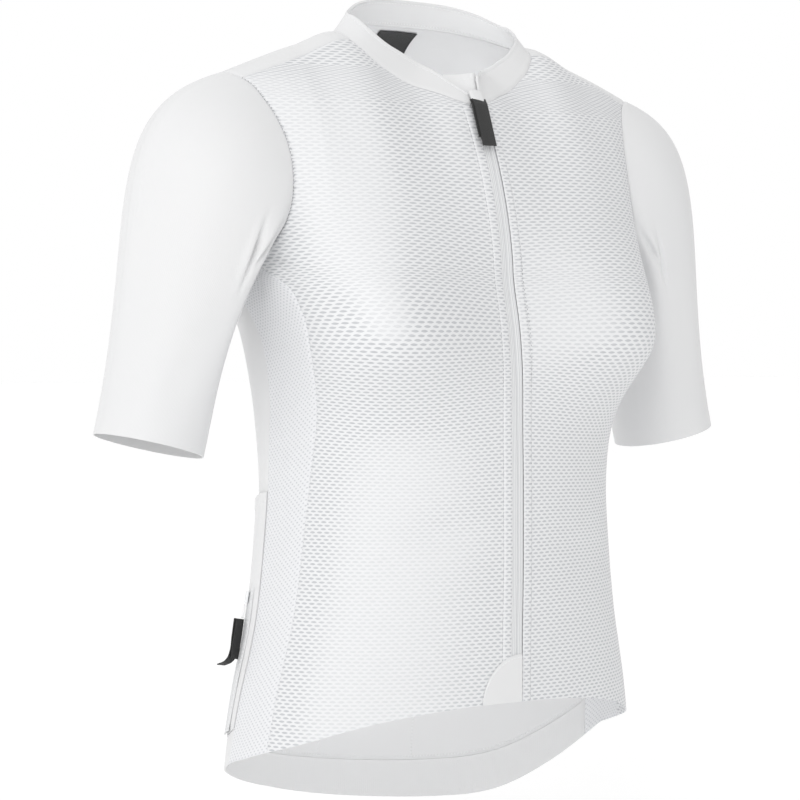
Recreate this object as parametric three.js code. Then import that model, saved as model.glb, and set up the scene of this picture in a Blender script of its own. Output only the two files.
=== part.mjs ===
import * as THREE from "three";

// Cycling jersey with a full front zip, worn shape, hollow.
// Millimetres. Up is +Z, the front faces -Y, the wearer's right is -X.
// The origin is the middle of the neck base, level with the shoulder seams.

// Cloth and seams
const WALL = 1.2;            // thickness of every cloth piece
const SEAM = 0.3;            // open line between two sewn pieces
const TURNED_SEAM = 0.45;    // the same where the cloth turns a corner, at neck and armholes
const LAYER = WALL + SEAM;   // step from one layer to the next one lying on it
const CHEST = -174;          // level of the armpits
const ARM_X = 169;           // half width where the armhole meets the side panel
const ZIP_EDGE = 5.5;        // folded edge of each front beside the zip
const ZIP_STITCH = 14;       // second column of each front, over the edge of the zip tape

// Sections of the body below the armpits, one row a level
const BODY = table(["z", "half", "front", "back", "round"], [
  [-620, 178, 108, 92, 2.2],
  [-540, 172, 108, 90, 2.2],
  [-494, 166, 108, 85, 2.2],
  [-430, 153, 109, 80, 2.2],
  [-385, 147, 110, 79, 2.2],
  [-343, 144, 110, 79, 2.2],
  [-300, 146, 109, 79, 2.25],
  [-258, 150, 107, 81, 2.4],
  [-220, 156, 102, 86, 2.6],
  [-174, 170, 95, 97, 2.9],
]);

// Shoulder line by distance from the middle, as the front and the back cloth reach it.
// Inside the neck the line is only drawn, no cloth lies there.
const SHOULDER = table(["x", "zFront", "yFront", "bowFront", "zBack", "yBack", "bowBack"], [
  [0, 13, 8, 1.66, 21, 16, 2.4],
  [22, 3, 8, 1.66, 20, 16, 2.4],
  [46, -8, 7, 1.66, 17, 13, 2.4],
  [66, -5, 5, 1.68, 12, 8, 2.4],
  [88, 3, 0, 1.7, 3, 0, 2.4],
  [130, -11, 0, 1.8, -11, 0, 2.3],
  [160, -22, -2, 2.1, -22, -2, 2.3],
  [188, -33, -4, 2.6, -33, -4, 2.5],
]);

// Depth of front and back at the shoulder end, which the armhole's edge follows
const SHOULDER_END = table(["x", "front", "back"], [
  [136, 74, 76], [150, 62, 64], [160, 52, 54], [170, 42, 46], [180, 33, 38], [188, 27, 32],
]);

// Edge of the armhole: distance from the middle by share of the height above the armpit
const ARMHOLE = table(["share", "front", "back"], [
  [0.0, 169, 169],
  [0.05, 168.5, 168.5],
  [0.1, 167, 167.5],
  [0.155, 164.5, 166],
  [0.21, 162, 164.5],
  [0.29, 159.5, 163],
  [0.46, 157.5, 162],
  [0.565, 158.5, 164],
  [0.68, 162, 167.5],
  [0.8, 168, 173],
  [0.93, 178, 181],
  [1.0, 188, 188],
]);

// Neck seam in plan, from the middle (0) to the side of the neck (1)
const NECK = table(["t", "xFront", "yFront", "xBack", "yBack"], [
  [0.0, 0, -61, 0, 36],
  [0.2, 20, -53, 20, 35],
  [0.4, 40, -42, 40, 31],
  [0.6, 60, -33, 60, 24],
  [0.78, 76, -26, 76, 15],
  [0.9, 85, -17, 84.5, 8],
  [1.0, 88, 0, 88, 0],
]);

// Seams as angles from the front, by level, and the hem from front (-1) to back (1)
const SIDE_FRONT = table(["z", "deg"], [
  [-610, 80], [-540, 77.5], [-430, 74], [-343, 72], [-272, 66], [-235, 66], [-205, 66.5],
  [-190, 69], [-174, 82.5],
]);
const SIDE_BACK = table(["z", "deg"], [
  [-610, 104], [-540, 100], [-468, 95], [-343, 94], [-267, 89], [-205, 92], [-174, 97.5],
]);
const HEM = table(["turn", "z"], [
  [-1, -494], [-0.8, -503], [-0.5, -517], [0, -535], [0.5, -563], [0.8, -582], [1, -591],
]);
// Seam between a front and the shoulder strip of the back, by distance from the middle
const YOKE = table(["x", "share"], [[84, 0.965], [130, 0.955], [184, 0.945]]);

// Fullness of the front, both sides alike
// by a push that fades away from its middle and from the front backward
const BUST = { x: 92, z: -223, push: 31, wide: 58, up: 70, down: 45, out: 0.8, middle: 60,
  from: 5, full: 65 };
// The tail hangs lower on the left
const TAIL = { slant: 0.13, depth: 80, from: -460, full: -580 };

// Broad folds: middle of the fold, its run, half length, half width and push along out
const FOLDS = table(
  ["x", "y", "z", "runX", "runY", "runZ", "long", "wide", "outX", "outY", "outZ", "push"], [
  // from each armpit down and in over the chest
  [-140, -60, -196, 0.7, -0.3, -0.6, 34, 11, -0.5, -0.8, 0, -3.0],
  [140, -60, -196, -0.7, -0.3, -0.6, 34, 11, 0.5, -0.8, 0, -3.0],
  // across the small of the back
  [-60, 78, -330, 1, 0.1, 0.16, 60, 16, 0, 1, 0, -4.0],
  [66, 78, -352, 1, -0.1, -0.2, 56, 15, 0, 1, 0, -3.6],
  [10, 79, -300, 1, 0, 0.05, 48, 14, 0, 1, 0, 2.6],
  // from the back of each armpit toward the shoulder blades
  [-130, 70, -160, 0.6, 0.3, 0.7, 44, 14, -0.4, 0.9, 0, -3.4],
  [132, 70, -154, -0.6, 0.3, 0.7, 42, 14, 0.4, 0.9, 0, -3.4],
  // at the waist in front
  [-70, -104, -372, 1, 0, 0.2, 50, 18, 0, -1, 0, -2.2],
  [76, -104, -388, 1, 0, -0.16, 46, 18, 0, -1, 0, -2.0],
  // on the sleeves, slanting out from the armpit
  [-196, -30, -184, -0.5, -0.1, -0.85, 46, 12, 0.2, -1, 0, -4.0],
  [196, -30, -184, 0.5, -0.1, -0.85, 46, 12, -0.2, -1, 0, -4.0],
  [-202, 42, -196, -0.55, 0, -0.8, 42, 13, 0.2, 1, 0, -3.4],
  [202, 42, -190, 0.55, 0, -0.8, 42, 13, -0.2, 1, 0, -3.4],
]);

// Sleeve: how it leaves the armhole and comes to the cuff, by angle from the outer edge
// (0) over the front (90) and the inner edge (180) to the back (270)
const SLEEVE = table(["deg", "outX", "outY", "outZ", "leave", "arrive"], [
  [-45, 0.8, 0.45, -0.4, 84, 135],
  [0, 1.0, 0.0, -0.28, 106, 155],
  [45, 0.8, -0.45, -0.4, 84, 135],
  [90, 0.55, -0.35, -0.75, 55, 90],
  [135, 0.75, -0.1, -0.65, 35, 60],
  [180, 1.0, 0.0, -0.1, 16, 70],
  [225, 0.75, 0.15, -0.65, 35, 60],
  [270, 0.55, 0.4, -0.75, 55, 90],
  [315, 0.8, 0.45, -0.4, 84, 135],
  [360, 1.0, 0.0, -0.28, 106, 155],
  [405, 0.8, -0.45, -0.4, 84, 135],
]);
const CUFF = { x: 244, y: 8, z: -304, radius: 40, tilt: 14 };

// Collar from its right front end (-1) over the back (0) to its left front end (1)
const COLLAR = table(["turn", "tall", "lean"], [
  [-1, 9, 32],
  [-0.93, 17, 40],
  [-0.84, 24, 46],
  [-0.55, 18, 44],
  [-0.3, 20, 28],
  [0, 19, 18],
  [0.3, 20, 28],
  [0.55, 18, 44],
  [0.84, 24, 44],
  [0.93, 23, 30],
  [1, 22, 14],
]);

// Rows of the panels: shares of the way from hem to armpits, then of the armhole's height
const LOW_ROWS = [0, 0.07, 0.17, 0.26, 0.355, 0.45, 0.545, 0.6, 0.66, 0.72, 0.775,
  0.825, 0.87, 0.915, 0.96, 1];
const BAND_ROW = 1;
const POCKET_ROW = 6;
const FRONT_COLUMNS = 8;
const SIDE_COLUMNS = 4;
const SEAM_ROUND = [0, 0.07, 0.14, 0.22, 0.31, 0.41, 0.52, 0.63];
const NECK_ROUND = [0.18, 0.36, 0.52, 0.66, 0.79, 0.9, 1];

const SLEEVE_ROWS = [0, 0.035, 0.1, 0.18, 0.27, 0.37, 0.47, 0.58, 0.69, 0.8, 0.9, 1];
const COLLAR_ROWS = [0.18, 0.6, 1];

// Zips and pulls
// Front zip across: distance from the middle and height over the middle of the cloth
const ZIP_PROFILE = [[-13.2, -1.7], [-5.2, -1.7], [0, -1.7], [5.2, -1.7], [13.2, -1.7],
  [13.2, -0.9], [5.2, -0.9], [5.2, 0.6], [0, 0.6], [-5.2, 0.6], [-5.2, -0.9], [-13.2, -0.9]];
const GUARD = { depth: 2.6, top: -25, fromRow: 4, extra: 0.6, places: [-20, -5.5, 5.5, 11] };
const GARAGE = table(["z", "height"], [[-41.5, 3.6], [-45, 4], [-49.5, 4.1]]);
const GARAGE_HALF = 6;
const SLIDER = { half: 4.4, top: -46, bottom: -58, low: 0.95, high: 2.9 };
// Pull tab: two layers of tape, the one behind shorter
const TAB = { half: 6.2, long: 38, behind: 30, thick: 0.9, top: -51.6, height: 4.1 };
const PATCH = { edge: 4, wide: 34, tall: 35, columns: 9, least: 1.5, crowd: 1.6 };
// Side pocket zip, its slider and pull
const SIDE_ZIP = { fromRow: 1, toRow: 4 };
const SIDE_SLIDER = { wide: 5.6, tall: 9, thick: 1.8, drop: 1 };
const LOOP = { across: 1.7, tall: 4.8, cord: 0.7, height: 2.7 };
// Side pull seen from its edge: way down from the loop and height; the outer layer curls away
const SIDE_TAB = {
  wide: 8.5,
  edge: [[0, -1.2], [4.5, -1.2], [4.5, -1], [30, -1], [30, -0.2], [26.5, -0.2], [30, 1],
    [33.5, 4], [36, 8], [35.2, 8.5], [32.8, 4.7], [29.6, 1.9], [25.6, 0.6], [4.5, 0.6],
    [4.5, 0.9], [0, 0.9]],
};

// Tables and smooth lines

function table(names, rows) {
  const columns = {};
  names.forEach((name, i) => { columns[name] = rows.map((row) => row[i]); });
  return columns;
}

// Smooth line through the rows of a table; past the ends it stays level.
function along(x, xs, ys) {
  const last = xs.length - 1;
  const at = Math.min(Math.max(x, xs[0]), xs[last]);
  let i = 0;
  while (i < last - 1 && at > xs[i + 1]) i += 1;
  const step = (k) => xs[k + 1] - xs[k];
  const slope = (k) => (ys[k + 1] - ys[k]) / step(k);
  const tangent = (k) => {
    if (k === 0) return slope(0);
    if (k === last) return xs === BODY.z ? 0 : slope(last - 1);
    return (slope(k - 1) * step(k) + slope(k) * step(k - 1)) / (step(k) + step(k - 1));
  };
  const h = step(i);
  const t = (at - xs[i]) / h;
  const t2 = t * t;
  const t3 = t2 * t;
  return (2 * t3 - 3 * t2 + 1) * ys[i] + (t3 - 2 * t2 + t) * h * tangent(i)
    + (3 * t2 - 2 * t3) * ys[i + 1] + (t3 - t2) * h * tangent(i + 1);
}

const clamp = (v, low, high) => Math.min(Math.max(v, low), high);
const mix = (a, b, t) => a + (b - a) * t;
const share = (v, from, to) => clamp((v - from) / (to - from), 0, 1);
const ease = (t) => t * t * (3 - 2 * t);
const radians = (deg) => deg * Math.PI / 180;
const v3 = (x, y, z) => new THREE.Vector3(x, y, z);

// Form of the body

// Fullness, slanted tail and folds, added to a point of the plain form.
function dress(p) {
  const dz = p.z - BUST.z;
  const tall = dz > 0 ? BUST.up : BUST.down;
  const near = Math.exp(-(((Math.abs(p.x) - BUST.x) / BUST.wide) ** 2) - (dz / tall) ** 2);
  const push = near * BUST.push * ease(share(-p.y, BUST.from, BUST.full));
  const tail = share(p.y, 0, TAIL.depth) * share(p.z, TAIL.from, TAIL.full);
  const q = v3(p.x + push * BUST.out * Math.tanh(p.x / BUST.middle), p.y - push,
    p.z - TAIL.slant * p.x * tail);
  return fold(q);
}

function fold(p) {
  const q = p.clone();
  for (let i = 0; i < FOLDS.x.length; i += 1) {
    const away = v3(p.x - FOLDS.x[i], p.y - FOLDS.y[i], p.z - FOLDS.z[i]);
    const run = v3(FOLDS.runX[i], FOLDS.runY[i], FOLDS.runZ[i]).normalize();
    const s = away.dot(run);
    const side = away.lengthSq() - s * s;
    const near = Math.exp(-((s / FOLDS.long[i]) ** 2) - side / FOLDS.wide[i] ** 2);
    q.addScaledVector(v3(FOLDS.outX[i], FOLDS.outY[i], FOLDS.outZ[i]).normalize(),
      FOLDS.push[i] * near);
  }
  return q;
}

// Point of the body below the armpits: angle from the front, + toward the left.
function ring(phi, z) {
  const [half, front, back, round] = ["half", "front", "back", "round"]
    .map((name) => along(z, BODY.z, BODY[name]));
  const s = Math.sin(phi);
  const c = Math.cos(phi);
  const x = Math.sign(s) * half * Math.abs(s) ** (2 / round);
  const y = (c > 0 ? -front : back) * Math.abs(c) ** (2 / round);
  return dress(v3(x, y, z));
}

// Point above the armpits: distance from the middle, and an angle that climbs the back
// from 0 to a quarter turn on the shoulder line, then goes down the front to a half turn.
function arch(x, climb) {
  const isFront = climb > Math.PI / 2;
  const side = isFront ? -1 : 1;
  const end = isFront ? "Front" : "Back";
  const height = clamp(Math.sin(climb), 0, 1);
  const far = Math.abs(x);
  const [top, ridge, bow] = ["z", "y", "bow"]
    .map((name) => along(far, SHOULDER.x, SHOULDER[name + end]));
  const [half, front, back, round] = ["half", "front", "back", "round"]
    .map((name) => along(CHEST, BODY.z, BODY[name]));
  const low = (isFront ? front : back)
    * (1 - (Math.min(far, ARM_X) / half) ** round) ** (1 / round);
  const high = far < SHOULDER_END.x[0] ? low
    : along(far, SHOULDER_END.x, isFront ? SHOULDER_END.front : SHOULDER_END.back);
  const deep = mix(low, high, ease(share(height, 0, 0.5)));
  const y = ridge + side * (deep - side * ridge) * Math.max(1 - height ** bow, 0) ** (1 / bow);
  return dress(v3(x, y, CHEST + (top - CHEST) * height));
}

// A point of the form with its outward normal, from small steps in both directions.
function surface(place, a, b, stepA, stepB) {
  const p = place(a, b);
  const da = place(a + stepA, b).sub(place(a - stepA, b));
  const db = place(a, b + stepB).sub(place(a, b - stepB));
  const n = da.cross(db).normalize();
  const out = v3(p.x, p.y, p.z > CHEST ? (p.z - CHEST) * 0.8 : 0);
  if (n.dot(out) < 0) n.negate();
  return { p, n };
}
const onRing = (phi, z) => surface(ring, phi, z, 0.02, 2);
const onArch = (x, climb) => surface(arch, x, climb, 1, 0.04);
const frontClimb = (height) => Math.PI - Math.asin(clamp(height, 0, 1));
const backClimb = (height) => Math.asin(clamp(height, 0, 1));

const hemAt = (phi) => along(-Math.cos(phi), HEM.turn, HEM.z);
const lowAt = (phi, row) => onRing(phi, mix(hemAt(phi), CHEST, row));

// Angle at which a level's ring reaches a distance from the middle.
function angleAt(x, z) {
  const half = along(z, BODY.z, BODY.half);
  const round = along(z, BODY.z, BODY.round);
  return Math.asin(clamp(x / half, 0, 1) ** (round / 2));
}

// Angle of a side seam where it meets a row; the hem's level depends on the angle.
function seamAngle(seam, row) {
  let phi = radians(75);
  for (let i = 0; i < 6; i += 1) {
    phi = radians(along(mix(hemAt(phi), CHEST, row), seam.z, seam.deg));
  }
  return phi;
}

// Share of the armhole's height at which the neck seam lies, for a point in plan.
function neckShare(x, y, climbOf) {
  let low = 0.3;
  let high = 1;
  for (let i = 0; i < 40; i += 1) {
    const mid = (low + high) / 2;
    const beyond = climbOf === frontClimb ? arch(x, climbOf(mid)).y < y
      : arch(x, climbOf(mid)).y > y;
    if (beyond) low = mid;
    else high = mid;
  }
  return (low + high) / 2;
}

function neckFront(t) {
  const x = along(t, NECK.t, NECK.xFront);
  return { x, share: neckShare(x, along(t, NECK.t, NECK.yFront), frontClimb) };
}

function neckBack(t) {
  const x = along(t, NECK.t, NECK.xBack);
  return { x, share: neckShare(x, along(t, NECK.t, NECK.yBack), backClimb) };
}

// Solids from sheets of points

class Sheet {
  constructor() {
    this.at = [];
    this.faces = [];
  }

  // Rows of points, joined where both ends of a cell exist; flip turns the faces over.
  grid(rows, flip = false, closed = false) {
    const ids = rows.map((row) => row.map((one) => (one ? this.at.push(one) - 1 : -1)));
    for (let j = 0; j + 1 < rows.length; j += 1) {
      const wide = rows[j].length;
      for (let i = 0; i < (closed ? wide : wide - 1); i += 1) {
        const next = (i + 1) % wide;
        const cell = [ids[j][i], ids[j][next], ids[j + 1][next], ids[j + 1][i]];
        if (cell.includes(-1)) continue;
        const [a, b, c, d] = cell;
        if (flip) this.faces.push([a, d, b], [b, d, c]);
        else this.faces.push([a, b, d], [b, c, d]);
      }
    }
    return this;
  }

  // Closed solid between two offsets along the normals.
  solid(inner = -WALL / 2, outer = WALL / 2) {
    const count = this.at.length;
    const points = [];
    for (const offset of [outer, inner]) {
      for (const { p, n } of this.at) points.push(p.clone().addScaledVector(n, offset));
    }
    const index = [];
    const open = new Map();
    for (const [a, b, c] of this.faces) {
      index.push(a, b, c, a + count, c + count, b + count);
      for (const [s, e] of [[a, b], [b, c], [c, a]]) {
        if (!open.delete(`${e},${s}`)) open.set(`${s},${e}`, [s, e]);
      }
    }
    for (const [s, e] of open.values()) {
      index.push(e, s, s + count, e, s + count, e + count);
    }
    return geometryOf(points, index);
  }
}

function geometryOf(points, index) {
  const geometry = new THREE.BufferGeometry();
  const flat = points.flatMap((p) => [p.x, p.y, p.z]);
  geometry.setAttribute("position", new THREE.Float32BufferAttribute(flat, 3));
  geometry.setIndex(index);
  return geometry;
}

// The end of a row or column, drawn back by half a seam toward its neighbour.
function drawBack(end, neighbour, by = SEAM / 2) {
  const pull = neighbour.p.clone().sub(end.p).setLength(by);
  return { p: end.p.clone().add(pull), n: end.n };
}

const between = (a, b, t) => ({
  p: a.p.clone().lerp(b.p, t),
  n: a.n.clone().lerp(b.n, t).normalize(),
});
const lifted = (one, by) => ({ p: one.p.clone().addScaledVector(one.n, by), n: one.n });

// Fronts

// Columns of a front, as shares of the way from its folded edge to the armhole
const FRONT_SHARES = (() => {
  const second = angleAt(ZIP_STITCH, CHEST);
  const half = along(CHEST, BODY.z, BODY.half);
  const round = along(CHEST, BODY.z, BODY.round);
  const shares = [0];
  for (let i = 0; i < FRONT_COLUMNS; i += 1) {
    const phi = mix(second, angleAt(ARM_X, CHEST), i / (FRONT_COLUMNS - 1));
    const x = half * Math.sin(phi) ** (2 / round);
    shares.push((x - ZIP_EDGE) / (ARM_X - ZIP_EDGE));
  }
  return shares;
})();

// Where the neck seam meets the folded edge of a front
const NECK_START = (() => {
  let low = 0;
  let high = 0.3;
  for (let i = 0; i < 30; i += 1) {
    const mid = (low + high) / 2;
    if (along(mid, NECK.t, NECK.xFront) < ZIP_EDGE) low = mid;
    else high = mid;
  }
  return low;
})();
const YOKE_END = 0.9;        // where it meets the seam of the shoulder strip
const CORNER_RISE = 0.735;   // height on the armhole of the row from the neck's front corner
const YOKE_RISE = along(180, YOKE.x, YOKE.share);
const NECK_SHARE = NECK.xFront.at(-1) / ARMHOLE.front.at(-1);

// Upper rows of a front: where each starts (zip edge or neck) and ends (armhole)
function upperRows() {
  const corner = neckFront(NECK_START);
  const rows = SEAM_ROUND.slice(1).map((share) => ({ x: ZIP_EDGE, start: share, end: share }));
  rows.push({ x: ZIP_EDGE, start: corner.share, end: CORNER_RISE });
  const neck = NECK_ROUND.map((s) => neckFront(mix(NECK_START, YOKE_END, s)));
  neck.forEach(({ x, share }, i) => {
    rows.push({ x, start: share, end: mix(CORNER_RISE, YOKE_RISE, (i + 1) / neck.length) });
  });
  return rows;
}

function frontRow(row, mirror) {
  return FRONT_SHARES.map((w) => {
    const rise = mix(row.start, row.end, w);
    const x = mix(row.x, along(rise, ARMHOLE.share, ARMHOLE.front), w);
    return onArch(mirror * x, frontClimb(rise));
  });
}

function frontPanel(mirror) {
  const rows = LOW_ROWS.map((row) => {
    const seam = seamAngle(SIDE_FRONT, row);
    const z = mix(hemAt(0), CHEST, row);
    const from = angleAt(ZIP_EDGE, z);
    const second = angleAt(ZIP_STITCH, z);
    const line = [lowAt(mirror * from, row)];
    for (let i = 0; i < FRONT_COLUMNS; i += 1) {
      line.push(lowAt(mirror * mix(second, seam, i / (FRONT_COLUMNS - 1)), row));
    }
    return line;
  });
  rows.slice(0, -1).forEach((row) => {
    row[row.length - 1] = drawBack(row[row.length - 1], row[row.length - 2]);
  });
  const arm = [];
  const neck = [];
  upperRows().forEach((one) => {
    const row = frontRow(one, mirror);
    rows.push(row);
    arm.push(row[row.length - 1]);
    if (one.end >= CORNER_RISE) neck.push(row[0]);
  });
  const top = rows.length - 1;
  rows[top] = rows[top].map((one, i) => drawBack(one, rows[top - 1][i]));
  return { sheet: new Sheet().grid(rows, mirror < 0), arm, neck, rows };
}

// Side panels

function sidePanel(mirror) {
  const top = [];
  const rows = LOW_ROWS.map((row) => {
    const from = seamAngle(SIDE_FRONT, row);
    const to = seamAngle(SIDE_BACK, row);
    const line = [];
    for (let i = 0; i <= SIDE_COLUMNS; i += 1) {
      line.push(lowAt(mirror * mix(from, to, i / SIDE_COLUMNS), row));
    }
    if (row === 1) top.push(...line);
    const end = SIDE_COLUMNS;
    const trimmed = [...line];
    trimmed[0] = drawBack(line[0], line[1]);
    trimmed[end] = drawBack(line[end], line[end - 1]);
    return trimmed;
  });
  return { sheet: new Sheet().grid(rows, mirror < 0), top };
}

// Back with its shoulder strips, hem band and pocket panel

const BACK_SHARES = (() => {
  const half = [0, 0.18, 0.42, 0.66, 0.85, 1].map((t) => t * NECK_SHARE);
  const rest = FRONT_SHARES.slice(1).map((w) => mix(NECK_SHARE, 1, w));
  const right = [...half, ...rest];
  return [...right.slice(1).reverse().map((t) => -t), ...right];
})();
const BACK_RISE = [0.08, 0.16, 0.25, 0.35, 0.46, 0.57, 0.69, 0.8, 0.87, 0.94, 1];
const STRIP_STEPS = 3;

function backColumnX(t, rise, neck) {
  const x = t * along(rise, ARMHOLE.share, ARMHOLE.back);
  if (!neck) return x;
  const end = t * along(neck.share, ARMHOLE.share, ARMHOLE.back);
  return x + (Math.sign(t) * neck.x - end) * (rise / neck.share) ** 3;
}

function backPanel() {
  const chestPhi = BACK_SHARES.map((t) => {
    const phi = Math.PI - angleAt(Math.abs(t) * ARM_X, CHEST);
    return t < 0 ? -phi : phi;
  });
  const seamTop = Math.PI - chestPhi[chestPhi.length - 1];
  const levels = LOW_ROWS.map((row) => {
    const reach = Math.PI - seamAngle(SIDE_BACK, row);
    return chestPhi.map((phi) => {
      const away = (Math.PI - Math.abs(phi)) / seamTop * reach;
      return lowAt(phi < 0 ? -(Math.PI - away) : Math.PI - away, row);
    });
  });
  const necks = BACK_SHARES.map((t) => (Math.abs(t) < NECK_SHARE - 1e-6
    ? neckBack(Math.abs(t) / NECK_SHARE) : null));
  const high = BACK_RISE.map((rise) => BACK_SHARES.map((t, i) => {
    const height = rise * (necks[i] ? necks[i].share : 1);
    return onArch(backColumnX(t, height, necks[i]), backClimb(height));
  }));
  const strips = [];
  for (let j = 1; j <= STRIP_STEPS; j += 1) {
    strips.push(BACK_SHARES.map((t) => {
      if (Math.abs(t) < NECK_SHARE - 1e-6) return null;
      const w = (Math.abs(t) - NECK_SHARE) / (1 - NECK_SHARE);
      const neck = neckFront(mix(1, YOKE_END, j / STRIP_STEPS));
      const rise = mix(neck.share, mix(1, YOKE_RISE, j / STRIP_STEPS), w);
      const x = mix(neck.x, along(rise, ARMHOLE.share, ARMHOLE.front), w);
      return onArch(Math.sign(t) * x, frontClimb(rise));
    }));
  }
  return { hem: levels[0], low: levels.slice(BAND_ROW), high, strips };
}

// The strip between the two edges of a row, drawn back at both ends.
function trimmedEnds(row) {
  const last = row.length - 1;
  const copy = [...row];
  copy[0] = drawBack(row[0], row[1]);
  copy[last] = drawBack(row[last], row[last - 1]);
  return copy;
}

function backSheet(back) {
  const low = back.low.slice(0, -1).map(trimmedEnds);
  low[0] = low[0].map((one, i) => drawBack(one, low[1][i]));
  const rows = [...low, back.low[back.low.length - 1], ...back.high, ...back.strips];
  const top = rows.length - 1;
  rows[top] = rows[top].map((one, i) => (one ? drawBack(one, rows[top - 1][i]) : null));
  return new Sheet().grid(rows, true);
}

// Hem band: from the hem to the lower edge of the back
function hemBand(back) {
  const top = back.low[0].map((one, i) => drawBack(one, back.hem[i]));
  return new Sheet().grid([trimmedEnds(back.hem), trimmedEnds(top)], true);
}

// Pocket panel: the rows of the back under the pocket mouth, one layer further out
function pocketPanel(back) {
  const rows = back.low.slice(0, POCKET_ROW - BAND_ROW + 1).map(trimmedEnds)
    .map((row) => row.map((one) => lifted(one, LAYER)));
  rows[0] = rows[0].map((one, i) => drawBack(one, rows[1][i]));
  return new Sheet().grid(rows, true);
}

// Sleeves

// Loop of the armhole from the shoulder over the front, the armpit and the back.
function armLoop(mirror, front, side, back) {
  const wide = BACK_SHARES.length - 1;
  const column = mirror > 0 ? wide : 0;
  const strip = back.strips.slice(0, -1).map((row) => row[column]);
  const ridge = back.high[back.high.length - 1][column];
  const rise = back.high.slice(0, -1).map((row) => row[column]);
  const loop = [ridge, ...strip, ...[...front.arm].reverse(), ...side.top, ...rise];
  return { loop, armpit: 1 + strip.length + front.arm.length + SIDE_COLUMNS / 2 };
}

// Edge direction in the cloth, at right angles to a loop and away from the panel.
function offEdge(loop, i, sign) {
  const next = loop[(i + 1) % loop.length].p;
  const before = loop[(i + loop.length - 1) % loop.length].p;
  return next.clone().sub(before).cross(loop[i].n).normalize().multiplyScalar(sign);
}

// Angle around the sleeve for each point of the loop, by length along it.
function loopAngles({ loop, armpit }) {
  const lengths = [0];
  loop.forEach((one, i) => {
    lengths.push(lengths[i] + one.p.distanceTo(loop[(i + 1) % loop.length].p));
  });
  const half = lengths[armpit];
  const all = lengths[loop.length];
  return loop.map((_, i) => (i <= armpit ? 180 * lengths[i] / half
    : 180 + 180 * (lengths[i] - half) / (all - half)));
}

function cuffPoint(deg, mirror) {
  const turn = radians(deg);
  const tilt = radians(CUFF.tilt);
  const across = CUFF.radius * Math.cos(turn);
  return v3(mirror * (CUFF.x + across * Math.cos(tilt)), CUFF.y - CUFF.radius * Math.sin(turn),
    CUFF.z + across * Math.sin(tilt));
}

function sleeve(mirror, arm) {
  const degs = loopAngles(arm);
  const tilt = radians(CUFF.tilt);
  const down = v3(mirror * Math.sin(tilt), 0, -Math.cos(tilt));
  const lines = arm.loop.map((one, i) => {
    const get = (name) => along(degs[i], SLEEVE.deg, SLEEVE[name]);
    const start = one.p.clone().addScaledVector(offEdge(arm.loop, i, -mirror), TURNED_SEAM);
    const out = v3(mirror * get("outX"), get("outY"), get("outZ")).normalize();
    const end = cuffPoint(degs[i], mirror);
    return new THREE.CubicBezierCurve3(start, start.clone().addScaledVector(out, get("leave")),
      end.clone().addScaledVector(down, -get("arrive")), end);
  });
  const rows = SLEEVE_ROWS.map((t, j) => lines.map((line, i) => {
    const p = line.getPoint(t);
    return j === 0 ? { p, n: arm.loop[i].n } : { p: fold(p), n: null };
  }));
  fillNormals(rows, mirror);
  return new Sheet().grid(rows, mirror < 0, true);
}

// Normals of a closed tube of rows from its neighbouring points; the first row keeps its own.
function fillNormals(rows, sign) {
  for (let j = 1; j < rows.length; j += 1) {
    const below = rows[Math.min(j + 1, rows.length - 1)];
    const wide = rows[j].length;
    rows[j].forEach((one, i) => {
      const around = rows[j][(i + 1) % wide].p.clone().sub(rows[j][(i + wide - 1) % wide].p);
      const length = below[i].p.clone().sub(rows[j - 1][i].p);
      one.n = around.cross(length).normalize().multiplyScalar(sign);
    });
  }
}

// Collar

// Loop of the neck from the right front end over the back to the left front end.
function neckLoop(fronts, back) {
  const wide = BACK_SHARES.length;
  const inner = BACK_SHARES.findIndex((t) => Math.abs(t) < NECK_SHARE + 1e-6);
  const top = back.high[back.high.length - 1].slice(inner, wide - inner);
  const strip = (column) => back.strips.slice(0, -1).map((row) => row[column]);
  const right = [...fronts.right.neck, ...strip(inner).reverse()];
  const left = [...fronts.left.neck, ...strip(wide - 1 - inner).reverse()];
  return [...right, ...top, ...left.reverse()];
}

function collarSheet(loop) {
  const last = loop.length - 1;
  const lengths = [0];
  for (let i = 0; i < last; i += 1) lengths.push(lengths[i] + loop[i].p.distanceTo(loop[i + 1].p));
  const base = loop.map((one, i) => {
    const before = loop[Math.max(i - 1, 0)].p;
    const next = loop[Math.min(i + 1, last)].p;
    const off = one.n.clone().cross(next.clone().sub(before)).normalize();
    if (off.dot(v3(-one.p.x, -one.p.y, 20)) < 0) off.negate();
    return { p: one.p.clone().addScaledVector(off, TURNED_SEAM), n: one.n, off };
  });
  const rows = [base];
  COLLAR_ROWS.forEach((part) => {
    rows.push(base.map((one, i) => {
      const turn = 2 * lengths[i] / lengths[last] - 1;
      const tall = along(turn, COLLAR.turn, COLLAR.tall);
      const lean = radians(along(turn, COLLAR.turn, COLLAR.lean));
      const inward = v3(-one.p.x, -one.p.y, 0).normalize();
      const rise = v3(0, 0, Math.cos(lean)).addScaledVector(inward, Math.sin(lean));
      const n = inward.clone().multiplyScalar(-Math.cos(lean)).add(v3(0, 0, Math.sin(lean)));
      const p = one.p.clone().addScaledVector(one.off, WALL * Math.min(1, part * 4))
        .addScaledVector(rise, tall * part);
      return { p, n };
    }));
  });
  return rows;
}

// Front zip with its guard, garage, slider and pull

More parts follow.
